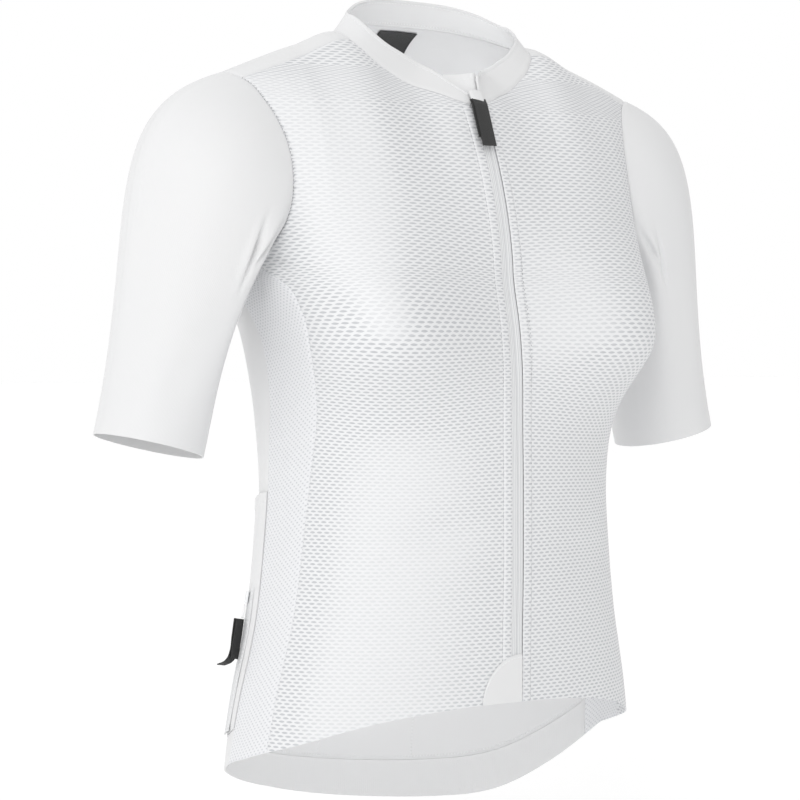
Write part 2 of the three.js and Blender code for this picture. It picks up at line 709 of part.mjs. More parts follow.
// Middle of the front at a level, with its outward normal and the direction down the zip.
function zipLine(z) {
  const corner = neckFront(0);
  const neckZ = arch(0, frontClimb(corner.share)).z;
  const one = z <= CHEST ? onRing(0, z)
    : onArch(0, frontClimb((Math.min(z, neckZ) - CHEST) / (SHOULDER.zFront[0] - CHEST)));
  const down = v3(1, 0, 0).cross(one.n).normalize();
  if (down.z > 0) down.negate();
  const p = one.p.clone().addScaledVector(down, z > neckZ ? (neckZ - z) / -down.z : 0);
  return { p, n: one.n, down };
}

function frontZip(front) {
  const levels = front.rows.map((row) => row[0]).filter((one) => Math.abs(one.p.x) < 6);
  const count = ZIP_PROFILE.length;
  const points = levels.flatMap(({ p }) => ZIP_PROFILE.map(([x, height]) => {
    const one = p.z <= CHEST ? onRing(Math.sign(x) * angleAt(Math.abs(x), p.z), p.z)
      : onArch(x, frontClimb((p.z - CHEST) / (topAt(x) - CHEST)));
    return one.p.clone().addScaledVector(one.n, height);
  }));
  const index = [];
  for (let j = 0; j + 1 < levels.length; j += 1) {
    for (let i = 0; i < count; i += 1) {
      const next = (i + 1) % count;
      const [a, b] = [j * count + i, j * count + next];
      index.push(a, b + count, b, a, a + count, b + count);
    }
  }
  const outline = ZIP_PROFILE.map(([x, height]) => new THREE.Vector2(x, height));
  const end = (levels.length - 1) * count;
  for (const [a, b, c] of THREE.ShapeUtils.triangulateShape(outline, [])) {
    index.push(a, b, c, a + end, c + end, b + end);
  }
  return geometryOf(points, index);
}

const topAt = (x) => along(Math.abs(x), SHOULDER.x, SHOULDER.zFront);

// Guard behind the zip, from under the neck seam up between the collar's ends
function zipGuard(collar) {
  const last = collar[0].length - 1;
  const across = (row) => [row[1], row[0], row[last], between(row[last], row[last - 1], 0.38)];
  const low = SEAM_ROUND.slice(GUARD.fromRow).map((share) => GUARD.places
    .map((x) => lifted(onArch(x, frontClimb(share)), -GUARD.depth)));
  const seam = across(collar[0]).map((one) => lifted(one, -GUARD.depth));
  const top = across(collar[3]);
  const rise = across(collar[1]).map((one, i) => {
    const up = top[i].p.clone().sub(one.p).normalize();
    const p = one.p.clone().addScaledVector(up, (GUARD.top - one.p.z) / up.z);
    return lifted({ p, n: top[i].n }, -GUARD.depth - GUARD.extra);
  });
  return new Sheet().grid([...low, seam, rise], false);
}

function zipGarage() {
  const rows = GARAGE.z.map((z, j) => {
    const { p, n } = zipLine(z);
    return [-1, 0, 1].map((side) => ({
      p: p.clone().addScaledVector(n, GARAGE.height[j] - 0.5 * Math.abs(side))
        .add(v3(side * GARAGE_HALF, 0, 0)),
      n,
    }));
  });
  return new Sheet().grid(rows.reverse(), false);
}

// A plate in the frame of a place: x across, y up the zip, z away from the cloth.
function placed(geometry, p, across, up, out) {
  return geometry.applyMatrix4(new THREE.Matrix4().makeBasis(across, up, out).setPosition(p));
}

function slider() {
  const { p, n, down } = zipLine((SLIDER.top + SLIDER.bottom) / 2);
  const tall = SLIDER.top - SLIDER.bottom;
  const outline = new THREE.Shape([[-1, -0.5], [1, -0.5], [0.85, 0.5], [-0.85, 0.5]]
    .map(([x, y]) => new THREE.Vector2(x * SLIDER.half, y * tall)));
  const body = new THREE.ExtrudeGeometry(outline,
    { depth: SLIDER.high - SLIDER.low, bevelEnabled: false });
  return placed(body, p.clone().addScaledVector(n, SLIDER.low), v3(1, 0, 0),
    down.clone().negate(), n);
}

function pullTab() {
  const { p, n, down } = zipLine(TAB.top);
  const { half, long, behind, thick } = TAB;
  const profile = new THREE.Shape([[0, -thick], [behind, -thick], [behind, 0], [long, 0],
    [long, thick], [0, thick]].map(([x, y]) => new THREE.Vector2(x, y)));
  const tab = new THREE.ExtrudeGeometry(profile, { depth: 2 * half, bevelEnabled: false });
  tab.translate(0, 0, -half);
  return placed(tab, p.clone().addScaledVector(n, TAB.height), down, n,
    down.clone().cross(n));
}

// Foot patch: a quarter round over the end of the zip, on the right front
function footPatch() {
  const columns = [];
  for (let i = 0; i <= PATCH.columns; i += 1) {
    const part = 1 - (1 - i / PATCH.columns) ** PATCH.crowd;
    const x = PATCH.edge - PATCH.wide * part;
    const tall = Math.max(PATCH.tall * Math.sqrt(1 - part * part), PATCH.least);
    const sign = Math.sign(x) || 1;
    const phi = sign * angleAt(Math.abs(x), hemAt(0));
    columns.push([0, 0.5, 1].map((rise) => {
      const z = hemAt(phi) + tall * rise;
      return lifted(onRing(sign * angleAt(Math.abs(x), z), z), LAYER);
    }));
  }
  return new Sheet().grid(columns, false);
}

// Label inside the back of the neck, on the middle columns of the back
function neckLabel(back) {
  const middle = (BACK_SHARES.length - 1) / 2;
  const rows = back.high.slice(-4).map((row) => row.slice(middle - 1, middle + 2)
    .map((one) => lifted(one, -LAYER)));
  rows[3] = rows[3].map((one, i) => drawBack(one, rows[2][i], 1.5));
  return new Sheet().grid(rows, true);
}

// Zip of the side pocket: a strip on the pocket panel beside the right seam
function sideZipSheet(back) {
  const rows = back.low.slice(SIDE_ZIP.fromRow, SIDE_ZIP.toRow + 1).map((row) => [
    between(row[0], row[1], 0.4), row[1], between(row[1], row[2], 0.5),
  ].map((one) => lifted(one, 2 * LAYER)));
  return { sheet: new Sheet().grid(rows, true), rows };
}

// Place of the side pull: the top of its zip, across, up and out
function sideFrame(rows) {
  const top = rows[rows.length - 1][1];
  const up = top.p.clone().sub(rows[rows.length - 2][1].p).normalize();
  const across = up.clone().cross(top.n).normalize();
  return { p: top.p.clone().addScaledVector(up, -SIDE_SLIDER.drop), up, across,
    out: across.clone().cross(up) };
}

function sideSlider({ p, up, across, out }) {
  const { wide, tall, thick } = SIDE_SLIDER;
  const body = new THREE.BoxGeometry(wide, tall, thick).translate(0, -tall / 2,
    WALL / 2 + SEAM + thick / 2);
  return placed(body, p, across, up, out);
}

function sideLoop({ p, up, across, out }) {
  const loop = new THREE.TorusGeometry(1, LOOP.cord, 8, 20);
  const place = loop.getAttribute("position");
  for (let i = 0; i < place.count; i += 1) {
    const [x, y] = [place.getX(i), place.getY(i)];
    const turn = Math.atan2(y, x);
    place.setX(i, x + (LOOP.across - 1) * Math.cos(turn));
    place.setY(i, y + (LOOP.tall - 1) * Math.sin(turn));
  }
  loop.translate(0, -SIDE_SLIDER.tall - SEAM - LOOP.tall - LOOP.cord, LOOP.height);
  return placed(loop, p, across, up, out);
}

function sideTab({ p, up, across, out }) {
  const profile = new THREE.Shape(SIDE_TAB.edge.map(([down, high]) =>
    new THREE.Vector2(-down, high)));
  const tab = new THREE.ExtrudeGeometry(profile, { depth: SIDE_TAB.wide, bevelEnabled: false });
  const start = SIDE_SLIDER.tall + 2 * SEAM + 2 * (LOOP.tall + LOOP.cord);
  tab.translate(-start, LOOP.height, -SIDE_TAB.wide / 2);
  return placed(tab, p, up, out, up.clone().cross(out));
}

// Materials

const cloth = (name, color, roughness = 0.9) => {
  const material = new THREE.MeshStandardMaterial({ color, roughness, metalness: 0 });
  material.name = name;
  return material;
};
const MESH_CLOTH = cloth("front_mesh", "#eeeff1");
const SIDE_CLOTH = cloth("side_mesh", "#e4e6e9");
const ZIP_TAPE = cloth("zip_tape", "#eceef0", 0.7);
const WHITE_CORD = cloth("white_cord", "#f4f4f4");
const BLACK_TAPE = cloth("black_tape", "#34363a", 0.75);
const SLIDER_FINISH = cloth("white_slider", "#e8e9ea", 0.4);
const SMOOTH_CLOTH = cloth("smooth_jersey", "#f2f3f5", 0.8);

// The jersey

const group = new THREE.Group();
group.name = "cycling_jersey";

function add(name, geometry, material) {
  const mesh = new THREE.Mesh(geometry, material);
  mesh.name = name;
  group.add(mesh);
}

const fronts = { right: frontPanel(-1), left: frontPanel(1) };
const sides = { right: sidePanel(-1), left: sidePanel(1) };
const back = backPanel();

const arms = {
  right: armLoop(-1, fronts.right, sides.right, back),
  left: armLoop(1, fronts.left, sides.left, back),
};

add("front_right", fronts.right.sheet.solid(), MESH_CLOTH);
add("front_left", fronts.left.sheet.solid(), MESH_CLOTH);
add("side_right", sides.right.sheet.solid(), SIDE_CLOTH);
add("side_left", sides.left.sheet.solid(), SIDE_CLOTH);
add("back", backSheet(back).solid(), SMOOTH_CLOTH);
add("hem_band", hemBand(back).solid(), SMOOTH_CLOTH);
add("pocket_panel", pocketPanel(back).solid(), SMOOTH_CLOTH);

add("sleeve_right", sleeve(-1, arms.right).solid(), SMOOTH_CLOTH);
add("sleeve_left", sleeve(1, arms.left).solid(), SMOOTH_CLOTH);
const collar = collarSheet(neckLoop(fronts, back));
add("collar", new Sheet().grid(collar, true).solid(), SMOOTH_CLOTH);
add("front_zip", frontZip(fronts.left), ZIP_TAPE);
add("zip_guard", zipGuard(collar).solid(), SMOOTH_CLOTH);
add("zip_garage", zipGarage().solid(), SMOOTH_CLOTH);
add("front_slider", slider(), SLIDER_FINISH);
add("front_pull_tab", pullTab(), BLACK_TAPE);
add("foot_patch", footPatch().solid(), SMOOTH_CLOTH);
add("neck_label", neckLabel(back).solid(), BLACK_TAPE);
const sideZip = sideZipSheet(back);
add("side_zip", sideZip.sheet.solid(), ZIP_TAPE);
const sidePlace = sideFrame(sideZip.rows);
add("side_slider", sideSlider(sidePlace), SLIDER_FINISH);
add("side_cord_loop", sideLoop(sidePlace), WHITE_CORD);
add("side_pull_tab", sideTab(sidePlace), BLACK_TAPE);

export default group;
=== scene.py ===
"""Looks of the cycling jersey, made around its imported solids.

Lengths are millimetres in the jersey's own frame until mesh_piece() turns them to metres.
Up is +Z, the front faces -Y and the wearer's right is -X.
"""
import math

import bpy
import numpy as np
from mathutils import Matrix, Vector


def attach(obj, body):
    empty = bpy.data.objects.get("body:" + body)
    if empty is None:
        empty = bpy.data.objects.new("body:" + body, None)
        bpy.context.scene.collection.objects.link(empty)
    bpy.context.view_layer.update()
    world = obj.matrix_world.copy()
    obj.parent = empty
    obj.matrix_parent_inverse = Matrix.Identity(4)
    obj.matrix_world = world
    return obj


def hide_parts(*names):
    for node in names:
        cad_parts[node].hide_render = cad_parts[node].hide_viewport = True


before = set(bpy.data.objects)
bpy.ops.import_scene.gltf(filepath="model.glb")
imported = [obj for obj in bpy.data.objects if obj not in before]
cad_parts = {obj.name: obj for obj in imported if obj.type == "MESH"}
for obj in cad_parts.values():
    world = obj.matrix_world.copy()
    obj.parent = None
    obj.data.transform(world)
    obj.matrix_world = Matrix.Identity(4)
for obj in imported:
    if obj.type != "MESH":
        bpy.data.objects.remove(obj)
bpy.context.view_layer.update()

# Camera: it looks level at the jersey from its front right
VIEW = {"away": 2000, "turn": 36, "level": -235, "px_per_rad": 2597, "centre": (430, 350)}
PHOTO = 800
SENSOR = 36
FLOOR = -680

# Cloth and seams
CLOTH = 0.9                  # thickness of the shown cloth
LAYER = 1.5                  # step from one layer to the next one lying on it
TURN_IN = 0.8                # how far a sewn edge turns in
TURN_OVER = 1.2              # over this width
CHEST = -174                 # level of the armpits
ARM_X = 169                  # half width where the armhole meets the side panel
ZIP_EDGE = 5.5               # folded edge of each front beside the zip


def table(names, *rows):
    """Columns of a short table, by name."""
    return dict(zip(names.split(), np.array(rows, float).T))


# Sections of the body below the armpits, one row a level
BODY = table("z half front back round",
             (-620, 178, 108, 92, 2.2), (-540, 172, 108, 90, 2.2), (-494, 166, 108, 85, 2.2),
             (-430, 153, 109, 80, 2.2), (-385, 147, 110, 79, 2.2), (-343, 144, 110, 79, 2.2),
             (-300, 146, 109, 79, 2.25), (-258, 150, 107, 81, 2.4), (-220, 156, 102, 86, 2.6),
             (-174, 170, 95, 97, 2.9))
# Shoulder line by distance from the middle, as the front and the back cloth reach it
SHOULDER = table("x z_front y_front bow_front z_back y_back bow_back",
                 (0, 13, 8, 1.66, 21, 16, 2.4), (22, 3, 8, 1.66, 20, 16, 2.4),
                 (46, -8, 7, 1.66, 17, 13, 2.4), (66, -5, 5, 1.68, 12, 8, 2.4),
                 (88, 3, 0, 1.7, 3, 0, 2.4), (130, -11, 0, 1.8, -11, 0, 2.3),
                 (160, -22, -2, 2.1, -22, -2, 2.3), (188, -33, -4, 2.6, -33, -4, 2.5))
SHOULDER_END = table("x front back", (136, 74, 76), (150, 62, 64), (160, 52, 54),
                     (170, 42, 46), (180, 33, 38), (188, 27, 32))
# Edge of the armhole by share of the height above the armpit
ARMHOLE = table("share front back",
                (0, 169, 169), (0.05, 168.5, 168.5), (0.1, 167, 167.5), (0.155, 164.5, 166),
                (0.21, 162, 164.5), (0.29, 159.5, 163), (0.46, 157.5, 162),
                (0.565, 158.5, 164), (0.68, 162, 167.5), (0.8, 168, 173), (0.93, 178, 181),
                (1, 188, 188))
# Neck seam in plan, from the middle (0) to the side of the neck (1)
NECK = table("t x_front y_front x_back y_back",
             (0, 0, -61, 0, 36), (0.2, 20, -53, 20, 35), (0.4, 40, -42, 40, 31),
             (0.6, 60, -33, 60, 24), (0.78, 76, -26, 76, 15), (0.9, 85, -17, 84.5, 8),
             (1, 88, 0, 88, 0))
# Side seams as angles from the front, and the hem from front (-1) to back (1)
SIDE_FRONT = table("z deg", (-610, 80), (-540, 77.5), (-430, 74), (-343, 72), (-272, 66),
                   (-235, 66), (-205, 66.5), (-190, 69), (-174, 82.5))
SIDE_BACK = table("z deg", (-610, 104), (-540, 100), (-468, 95), (-343, 94), (-267, 89),
                  (-205, 92), (-174, 97.5))
HEM = table("turn z", (-1, -494), (-0.8, -503), (-0.5, -517), (0, -535), (0.5, -563),
            (0.8, -582), (1, -591))
YOKE_RISE = 0.945            # height of the yoke seam on the armhole
YOKE_END = 0.9               # and where it meets the neck seam
CORNER_RISE = 0.735          # height on the armhole of the row from the neck's front corner
SHOULDER_HALF = 188          # from the middle to the top of an armhole
NECK_SHARE = 88 / SHOULDER_HALF
BAND_ROW = 0.07              # lower rows, as shares of the way from hem to armpits
POCKET_ROW = 0.545
BUST = {"x": 92, "z": -223, "push": 31, "wide": 58, "up": 70, "down": 45, "out": 0.8,
        "middle": 60, "from": 5, "full": 65}
TAIL = {"slant": 0.13, "depth": 80, "from": -460, "full": -580}

# Broad folds, as in the solids: middle, run, half length, half width, direction and push
FOLD_COLUMNS = "x y z run_x run_y run_z long wide out_x out_y out_z push"
FOLDS = table(
    FOLD_COLUMNS,
    (-140, -60, -196, 0.7, -0.3, -0.6, 34, 11, -0.5, -0.8, 0, -3.0),
    (140, -60, -196, -0.7, -0.3, -0.6, 34, 11, 0.5, -0.8, 0, -3.0),
    (-60, 78, -330, 1, 0.1, 0.16, 60, 16, 0, 1, 0, -4.0),
    (66, 78, -352, 1, -0.1, -0.2, 56, 15, 0, 1, 0, -3.6),
    (10, 79, -300, 1, 0, 0.05, 48, 14, 0, 1, 0, 2.6),
    (-130, 70, -160, 0.6, 0.3, 0.7, 44, 14, -0.4, 0.9, 0, -3.4),
    (132, 70, -154, -0.6, 0.3, 0.7, 42, 14, 0.4, 0.9, 0, -3.4),
    (-70, -104, -372, 1, 0, 0.2, 50, 18, 0, -1, 0, -2.2),
    (76, -104, -388, 1, 0, -0.16, 46, 18, 0, -1, 0, -2.0),
    (-196, -30, -184, -0.5, -0.1, -0.85, 46, 12, 0.2, -1, 0, -4.0),
    (196, -30, -184, 0.5, -0.1, -0.85, 46, 12, -0.2, -1, 0, -4.0),
    (-202, 42, -196, -0.55, 0, -0.8, 42, 13, 0.2, 1, 0, -3.4),
    (202, 42, -190, 0.55, 0, -0.8, 42, 13, -0.2, 1, 0, -3.4))
# Narrow creases: at the armpits, down the sleeves, at the waist and the back
CREASES = table(
    FOLD_COLUMNS,
    (-192, -53, -166, -0.31, 0.14, -0.94, 20, 2, 0.1, -1, -0.1, -5.4),
    (-196, -52, -165, -0.31, 0.14, -0.94, 20, 3.2, 0, -1, -0.1, 1.6),
    (-179, -53, -160, -0.6, 0, -0.8, 16, 2, 0.35, -0.9, -0.3, -5.6),
    (-184, -54, -160, -0.5, 0.05, -0.85, 17, 3.4, 0.15, -1, -0.2, 1.9),
    (190, -53, -164, 0.34, 0.12, -0.93, 17, 2.5, -0.1, -1, -0.1, -3.8),
    (180, -53, -157, 0.6, 0, -0.8, 15, 2.3, -0.35, -0.9, -0.3, -3.9),
    (185, -54, -159, 0.5, 0.05, -0.85, 17, 3.4, -0.15, -1, -0.2, 1.7),
    (-163, -50, -178, 0.36, -0.84, -0.4, 13, 1.7, -1, -0.3, 0, -3.4),
    (-165, -46, -171, 0.3, -0.9, -0.3, 14, 1.7, -1, -0.3, 0, -3.0),
    (-161, -54, -187, 0.4, -0.8, -0.45, 12, 1.8, -1, -0.3, 0, -2.4),
    (163, -50, -180, -0.36, -0.84, -0.4, 12, 1.8, 1, -0.3, 0, -1.8),
    (165, -46, -173, -0.3, -0.9, -0.3, 12, 1.7, 1, -0.3, 0, -1.6),
    (-168, -20, -190, 0, 0.1, -1, 17, 2.6, -1, 0, 0, -1.8),
    (-168, -4, -186, 0, 0.15, -1, 14, 2.4, -1, 0, 0, -1.5),
    (-168, 12, -192, 0, 0, -1, 18, 2.8, -1, 0, 0, -1.9),
    (168, -18, -188, 0, 0.1, -1, 16, 2.6, 1, 0, 0, -1.7),
    (168, 4, -192, 0, -0.1, -1, 19, 2.8, 1, 0, 0, -1.9),
    (-184, 40, -160, -0.35, 0.1, -0.9, 20, 3.4, 0.3, 1, 0, -3.0),
    (-194, 40, -178, -0.3, 0, -0.95, 24, 4.0, 0.2, 1, 0, -2.6),
    (184, 41, -164, 0.4, 0.1, -0.9, 22, 3.6, -0.3, 1, 0, -2.8),
    (196, 40, -182, 0.3, 0, -0.95, 22, 3.8, -0.2, 1, 0, -2.6),
    (-214, 8, -230, -0.2, 0.3, -0.9, 34, 8, 1, 0.2, 0, -2.0),
    (214, 6, -236, 0.2, 0.3, -0.9, 32, 8, -1, 0.2, 0, -2.0),
    (-244, -30, -262, -0.3, 0.3, -0.9, 30, 9, 0, -1, 0, -1.1),
    (-150, 62, -186, 0.7, 0.4, -0.5, 24, 4.5, -0.6, 0.8, 0, -2.0),
    (150, 62, -182, -0.7, 0.4, -0.5, 26, 5, 0.6, 0.8, 0, -2.0),
    (-40, 80, -362, 1, 0, 0.22, 34, 6, 0, 1, 0, -1.6),
    (44, 80, -338, 1, 0, -0.18, 36, 6, 0, 1, 0, -1.5),
    (92, 66, -372, 1, -0.4, 0.3, 24, 6, 0.4, 1, 0, -1.3),
    (-98, 66, -322, 1, 0.4, -0.3, 26, 6, -0.4, 1, 0, -1.5))

# Sleeve by angle from the outer edge (0) over the front (90) and the inner edge (180)
SLEEVE = table("deg out_x out_y out_z leave arrive",
               (-45, 0.8, 0.45, -0.4, 84, 135), (0, 1, 0, -0.28, 106, 155),
               (45, 0.8, -0.45, -0.4, 84, 135), (90, 0.55, -0.35, -0.75, 55, 90),
               (135, 0.75, -0.1, -0.65, 35, 60), (180, 1, 0, -0.1, 16, 70),
               (225, 0.75, 0.15, -0.65, 35, 60), (270, 0.55, 0.4, -0.75, 55, 90),
               (315, 0.8, 0.45, -0.4, 84, 135), (360, 1, 0, -0.28, 106, 155),
               (405, 0.8, -0.45, -0.4, 84, 135))
CUFF = {"x": 244, "y": 8, "z": -304, "radius": 40, "tilt": 14}
# Collar from its right front end (-1) over the back (0) to its left front end (1)
COLLAR = table("turn tall lean", (-1, 9, 32), (-0.93, 17, 40), (-0.84, 24, 46),
               (-0.55, 18, 44), (-0.3, 20, 28), (0, 19, 18), (0.3, 20, 28), (0.55, 18, 44),
               (0.84, 24, 44), (0.93, 23, 30), (1, 22, 14))
COLLAR_OUT = 1.2             # how far the collar's foot stands off the seam
COLLAR_CLOTH = 1.7           # its two layers

GUARD = {"depth": 2.6, "top": -25, "cloth": 1.1,
         "shares": (0.31, 0.41, 0.52, 0.63), "extra": 0.6, "right": -20, "left": 11}
GARAGE = table("z height", (-41.5, 3.6), (-45, 4), (-49.5, 4.1))
GARAGE_HALF = 6
GARAGE_SLANT = 0.18          # its left side hangs lower
SLIDER = {"half": 4.4, "top": -46, "bottom": -58, "low": 0.95, "high": 2.9}
TAB = {"half": 6.2, "long": 38, "behind": 30, "thick": 0.8, "top": -51.6, "height": 4.1}
TAB_HANG = 0.12              # how far the pull hangs off the zip's line, for each mm down
PATCH = {"edge": 4, "wide": 34, "tall": 35, "least": 1.5, "crowd": 1.6}
SIDE_SLIDER = {"wide": 5.6, "tall": 9, "thick": 1.8, "drop": 1}
LOOP = {"across": 1.7, "tall": 4.8, "cord": 0.7, "height": 2.7}
# Side pull from its edge: way down from the loop and height; the outer layer curls away
SIDE_TAB_WIDE = 8.5
SIDE_TAB_TURN = 50           # it has turned on its loop toward the front
SIDE_TAB_INNER = table("down high", (0.2, -0.35), (10, -0.45), (20, -0.4), (30, -0.6))
SIDE_TAB_OUTER = table("down high", (0.2, 0.5), (14, 0.3), (25, 0.2), (30, 1.4), (33.6, 4.4),
                       (35.6, 8.2))


# Smooth lines and small sums

def along(x, xs, ys, level_end=False):
    """Smooth line through a table's rows: between two rows a cubic whose end slopes are the
    neighbouring slopes, each weighted by the other's step. Past the ends it stays level."""
    x = np.clip(np.asarray(x, float), xs[0], xs[-1])
    i = np.clip(np.searchsorted(xs, x, side="right") - 1, 0, len(xs) - 2)
    step = np.diff(xs)
    slope = np.diff(ys) / step
    tangent = np.concatenate([
        slope[:1], (slope[:-1] * step[1:] + slope[1:] * step[:-1]) / (step[1:] + step[:-1]),
        [0.0] if level_end else slope[-1:]])
    h = step[i]
    t = (x - xs[i]) / h
    return ((2 * t**3 - 3 * t**2 + 1) * ys[i] + (t**3 - 2 * t**2 + t) * h * tangent[i]
            + (3 * t**2 - 2 * t**3) * ys[i + 1] + (t**3 - t**2) * h * tangent[i + 1])


def body_at(z):
    """Half width, front depth, back depth and roundness of the body at a level."""
    return [along(z, BODY["z"], BODY[name], level_end=True)
            for name in ("half", "front", "back", "round")]


def share(v, start, end):
    return np.clip((v - start) / (end - start), 0, 1)


def mix(a, b, t):
    return a + (b - a) * t


def ease(t):
    return t * t * (3 - 2 * t)


def unit(v):
    return v / np.maximum(np.linalg.norm(v, axis=-1, keepdims=True), 1e-9)


def stack(x, y, z):
    return np.stack(np.broadcast_arrays(x, y, z), -1).astype(float)


def spaced(count, length, fine=(0.5, 1.2, 2.2, 3.4)):
    """Shares from 0 to 1, even but for finer steps (mm) beside both ends of the length."""
    near = np.array(fine) / length
    return np.concatenate([[0], near, np.linspace(near[-1], 1 - near[-1], count)[1:-1],
                           1 - near[::-1], [1]])


def run_length(points, axis=0):
    """Length run along an axis of a grid of points, from 0."""
    steps = np.linalg.norm(np.diff(points, axis=axis), axis=-1)
    zero = np.zeros_like(np.take(steps, [0], axis=axis))
    return np.concatenate([zero, np.cumsum(steps, axis=axis)], axis=axis)


# Form of the body, as in the solids

ALL_FOLDS = {name: np.concatenate([FOLDS[name], CREASES[name]]) for name in FOLDS}


def draped(p):
    """Each fold pushes points along its direction by push times a bell curve: one across its
    width and a longer one along its run. All are summed from the points given."""
    q = p.copy()
    for x, y, z, rx, ry, rz, long, wide, ox, oy, oz, push in zip(*ALL_FOLDS.values()):
        away = p - (x, y, z)
        s = away @ unit(np.array([rx, ry, rz]))
        side = (away ** 2).sum(-1) - s ** 2
        near = np.exp(-(s / long) ** 2 - side / wide ** 2)
        q += push * near[..., None] * unit(np.array([ox, oy, oz]))
    return q


def dress(p):
    """Adds the fullness of the front (a bell curve round two middles, fading toward the back)
    and the slanted tail to points of the plain form."""
    x, y, z = p[..., 0], p[..., 1], p[..., 2]
    dz = z - BUST["z"]
    tall = np.where(dz > 0, BUST["up"], BUST["down"])
    near = np.exp(-((np.abs(x) - BUST["x"]) / BUST["wide"]) ** 2 - (dz / tall) ** 2)
    push = near * BUST["push"] * ease(share(-y, BUST["from"], BUST["full"]))
    tail = share(y, 0, TAIL["depth"]) * share(z, TAIL["from"], TAIL["full"])
    return stack(x + push * BUST["out"] * np.tanh(x / BUST["middle"]), y - push,
                 z - TAIL["slant"] * x * tail)


def ring(phi, z):
    """Body below the armpits: a superellipse at each level, by angle from the front."""
    half, front, back, round_ = body_at(z)
    s, c = np.sin(phi), np.cos(phi)
    x = np.sign(s) * half * np.abs(s) ** (2 / round_)
    y = np.where(c > 0, -front, back) * np.abs(c) ** (2 / round_)
    return dress(stack(x, y, z))


def arch(x, climb):
    """Body above the armpits, by distance from the middle and an angle that climbs the back
    to a quarter turn on the shoulder line and goes down the front to a half turn. Depth falls
    off with height as a superellipse from the chest's depth to the shoulder line."""
    x, climb = np.broadcast_arrays(np.asarray(x, float), climb)
    is_front = climb > math.pi / 2
    side = np.where(is_front, -1, 1)
    height = np.clip(np.sin(climb), 0, 1)
    far = np.abs(x)
    top, ridge, bow = (
        np.where(is_front, along(far, SHOULDER["x"], SHOULDER[name + "_front"]),
                 along(far, SHOULDER["x"], SHOULDER[name + "_back"]))
        for name in ("z", "y", "bow"))
    half, front, back, round_ = body_at(CHEST)
    low = np.where(is_front, front, back) * (
        1 - (np.minimum(far, ARM_X) / half) ** round_) ** (1 / round_)
    end = np.where(is_front, along(far, SHOULDER_END["x"], SHOULDER_END["front"]),
                   along(far, SHOULDER_END["x"], SHOULDER_END["back"]))
    high = np.where(far < SHOULDER_END["x"][0], low, end)
    deep = mix(low, high, ease(share(height, 0, 0.5)))
    y = ridge + side * (deep - side * ridge) * np.maximum(1 - height**bow, 0) ** (1 / bow)
    return dress(stack(x, y, CHEST + (top - CHEST) * height))


def front_climb(height):
    return math.pi - np.arcsin(np.clip(height, 0, 1))


def back_climb(height):
    return np.arcsin(np.clip(height, 0, 1))


def normal_at(surface, a, b, step_a, step_b):
    """Outward normal of a surface of two parameters by its differences."""
    across = surface(a + step_a, b) - surface(a - step_a, b)
    up = surface(a, b + step_b) - surface(a, b - step_b)
    n = unit(np.cross(across, up))
    p = surface(a, b)
    outside = stack(p[..., 0], p[..., 1], 0.8 * np.maximum(p[..., 2] - CHEST, 0))
    return n * np.sign((n * outside).sum(-1, keepdims=True))


def hem_at(phi):
    return along(-np.cos(phi), HEM["turn"], HEM["z"])


def low_at(phi, row):
    return ring(phi, mix(hem_at(phi), CHEST, row))


def angle_at(x, z):
    """Angle at which a level's ring reaches a distance from the middle."""
    half, _, _, round_ = body_at(z)
    return np.arcsin(np.clip(x / half, 0, 1) ** (round_ / 2))


def seam_angle(seam, row):
    """Angle of a side seam where it meets a row, whose level depends on the angle."""
    phi = np.full(np.shape(row), math.radians(75))
    for _ in range(6):
        phi = np.radians(along(mix(hem_at(phi), CHEST, row), seam["z"], seam["deg"]))
    return phi


def neck_point(t, end):
    """Distance from the middle and share of height of the neck seam, front or back, found by
    halving the range of heights."""
    x = along(t, NECK["t"], NECK["x_" + end])
    y = along(t, NECK["t"], NECK["y_" + end])
    climb = front_climb if end == "front" else back_climb
    low, high = np.full(np.shape(x), 0.3), np.ones(np.shape(x))
    for _ in range(40):
        mid = (low + high) / 2
        at = arch(x, climb(mid))[..., 1]
        beyond = at < y if end == "front" else at > y
        low, high = np.where(beyond, mid, low), np.where(beyond, high, mid)
    return x, (low + high) / 2


def front_at(x, z):
    """Point of the front at a distance from the middle and a level, near the zip."""
    x, z = np.broadcast_arrays(np.asarray(x, float), z)
    low = ring(np.sign(x) * angle_at(np.abs(x), z), z)
    top = along(np.abs(x), SHOULDER["x"], SHOULDER["z_front"])
    high = arch(x, front_climb((z - CHEST) / (top - CHEST)))
    return draped(np.where((z <= CHEST)[..., None], low, high))


NECK_START = np.interp(ZIP_EDGE, along(np.linspace(0, 0.3, 301), NECK["t"], NECK["x_front"]),
                       np.linspace(0, 0.3, 301))
CORNER = float(neck_point(NECK_START, "front")[1])
NECK_Z = float(arch(0.0, front_climb(neck_point(0.0, "front")[1]))[2])


# Meshes

def normals_of(points, wrap=False, outside=None):
    """Unit normals of a grid of points by its two differences, turned to the outside: away
    from the middle of the body, or from the points given."""
    if wrap:
        ring_of = np.concatenate([points[:, -1:], points, points[:, :1]], 1)
        across = np.gradient(ring_of, axis=1)[:, 1:-1]
    else:
        across = np.gradient(points, axis=1)
    n = unit(np.cross(across, np.gradient(points, axis=0)))
    if outside is None:
        outside = points * np.where(points[..., 2:] > CHEST, (1, 1, 0.8), (1, 1, 0)) \
            - np.where(points[..., 2:] > CHEST, (0, 0, 0.8 * CHEST), (0, 0, 0))
    return n if (n * outside).sum(-1).mean() > 0 else -n


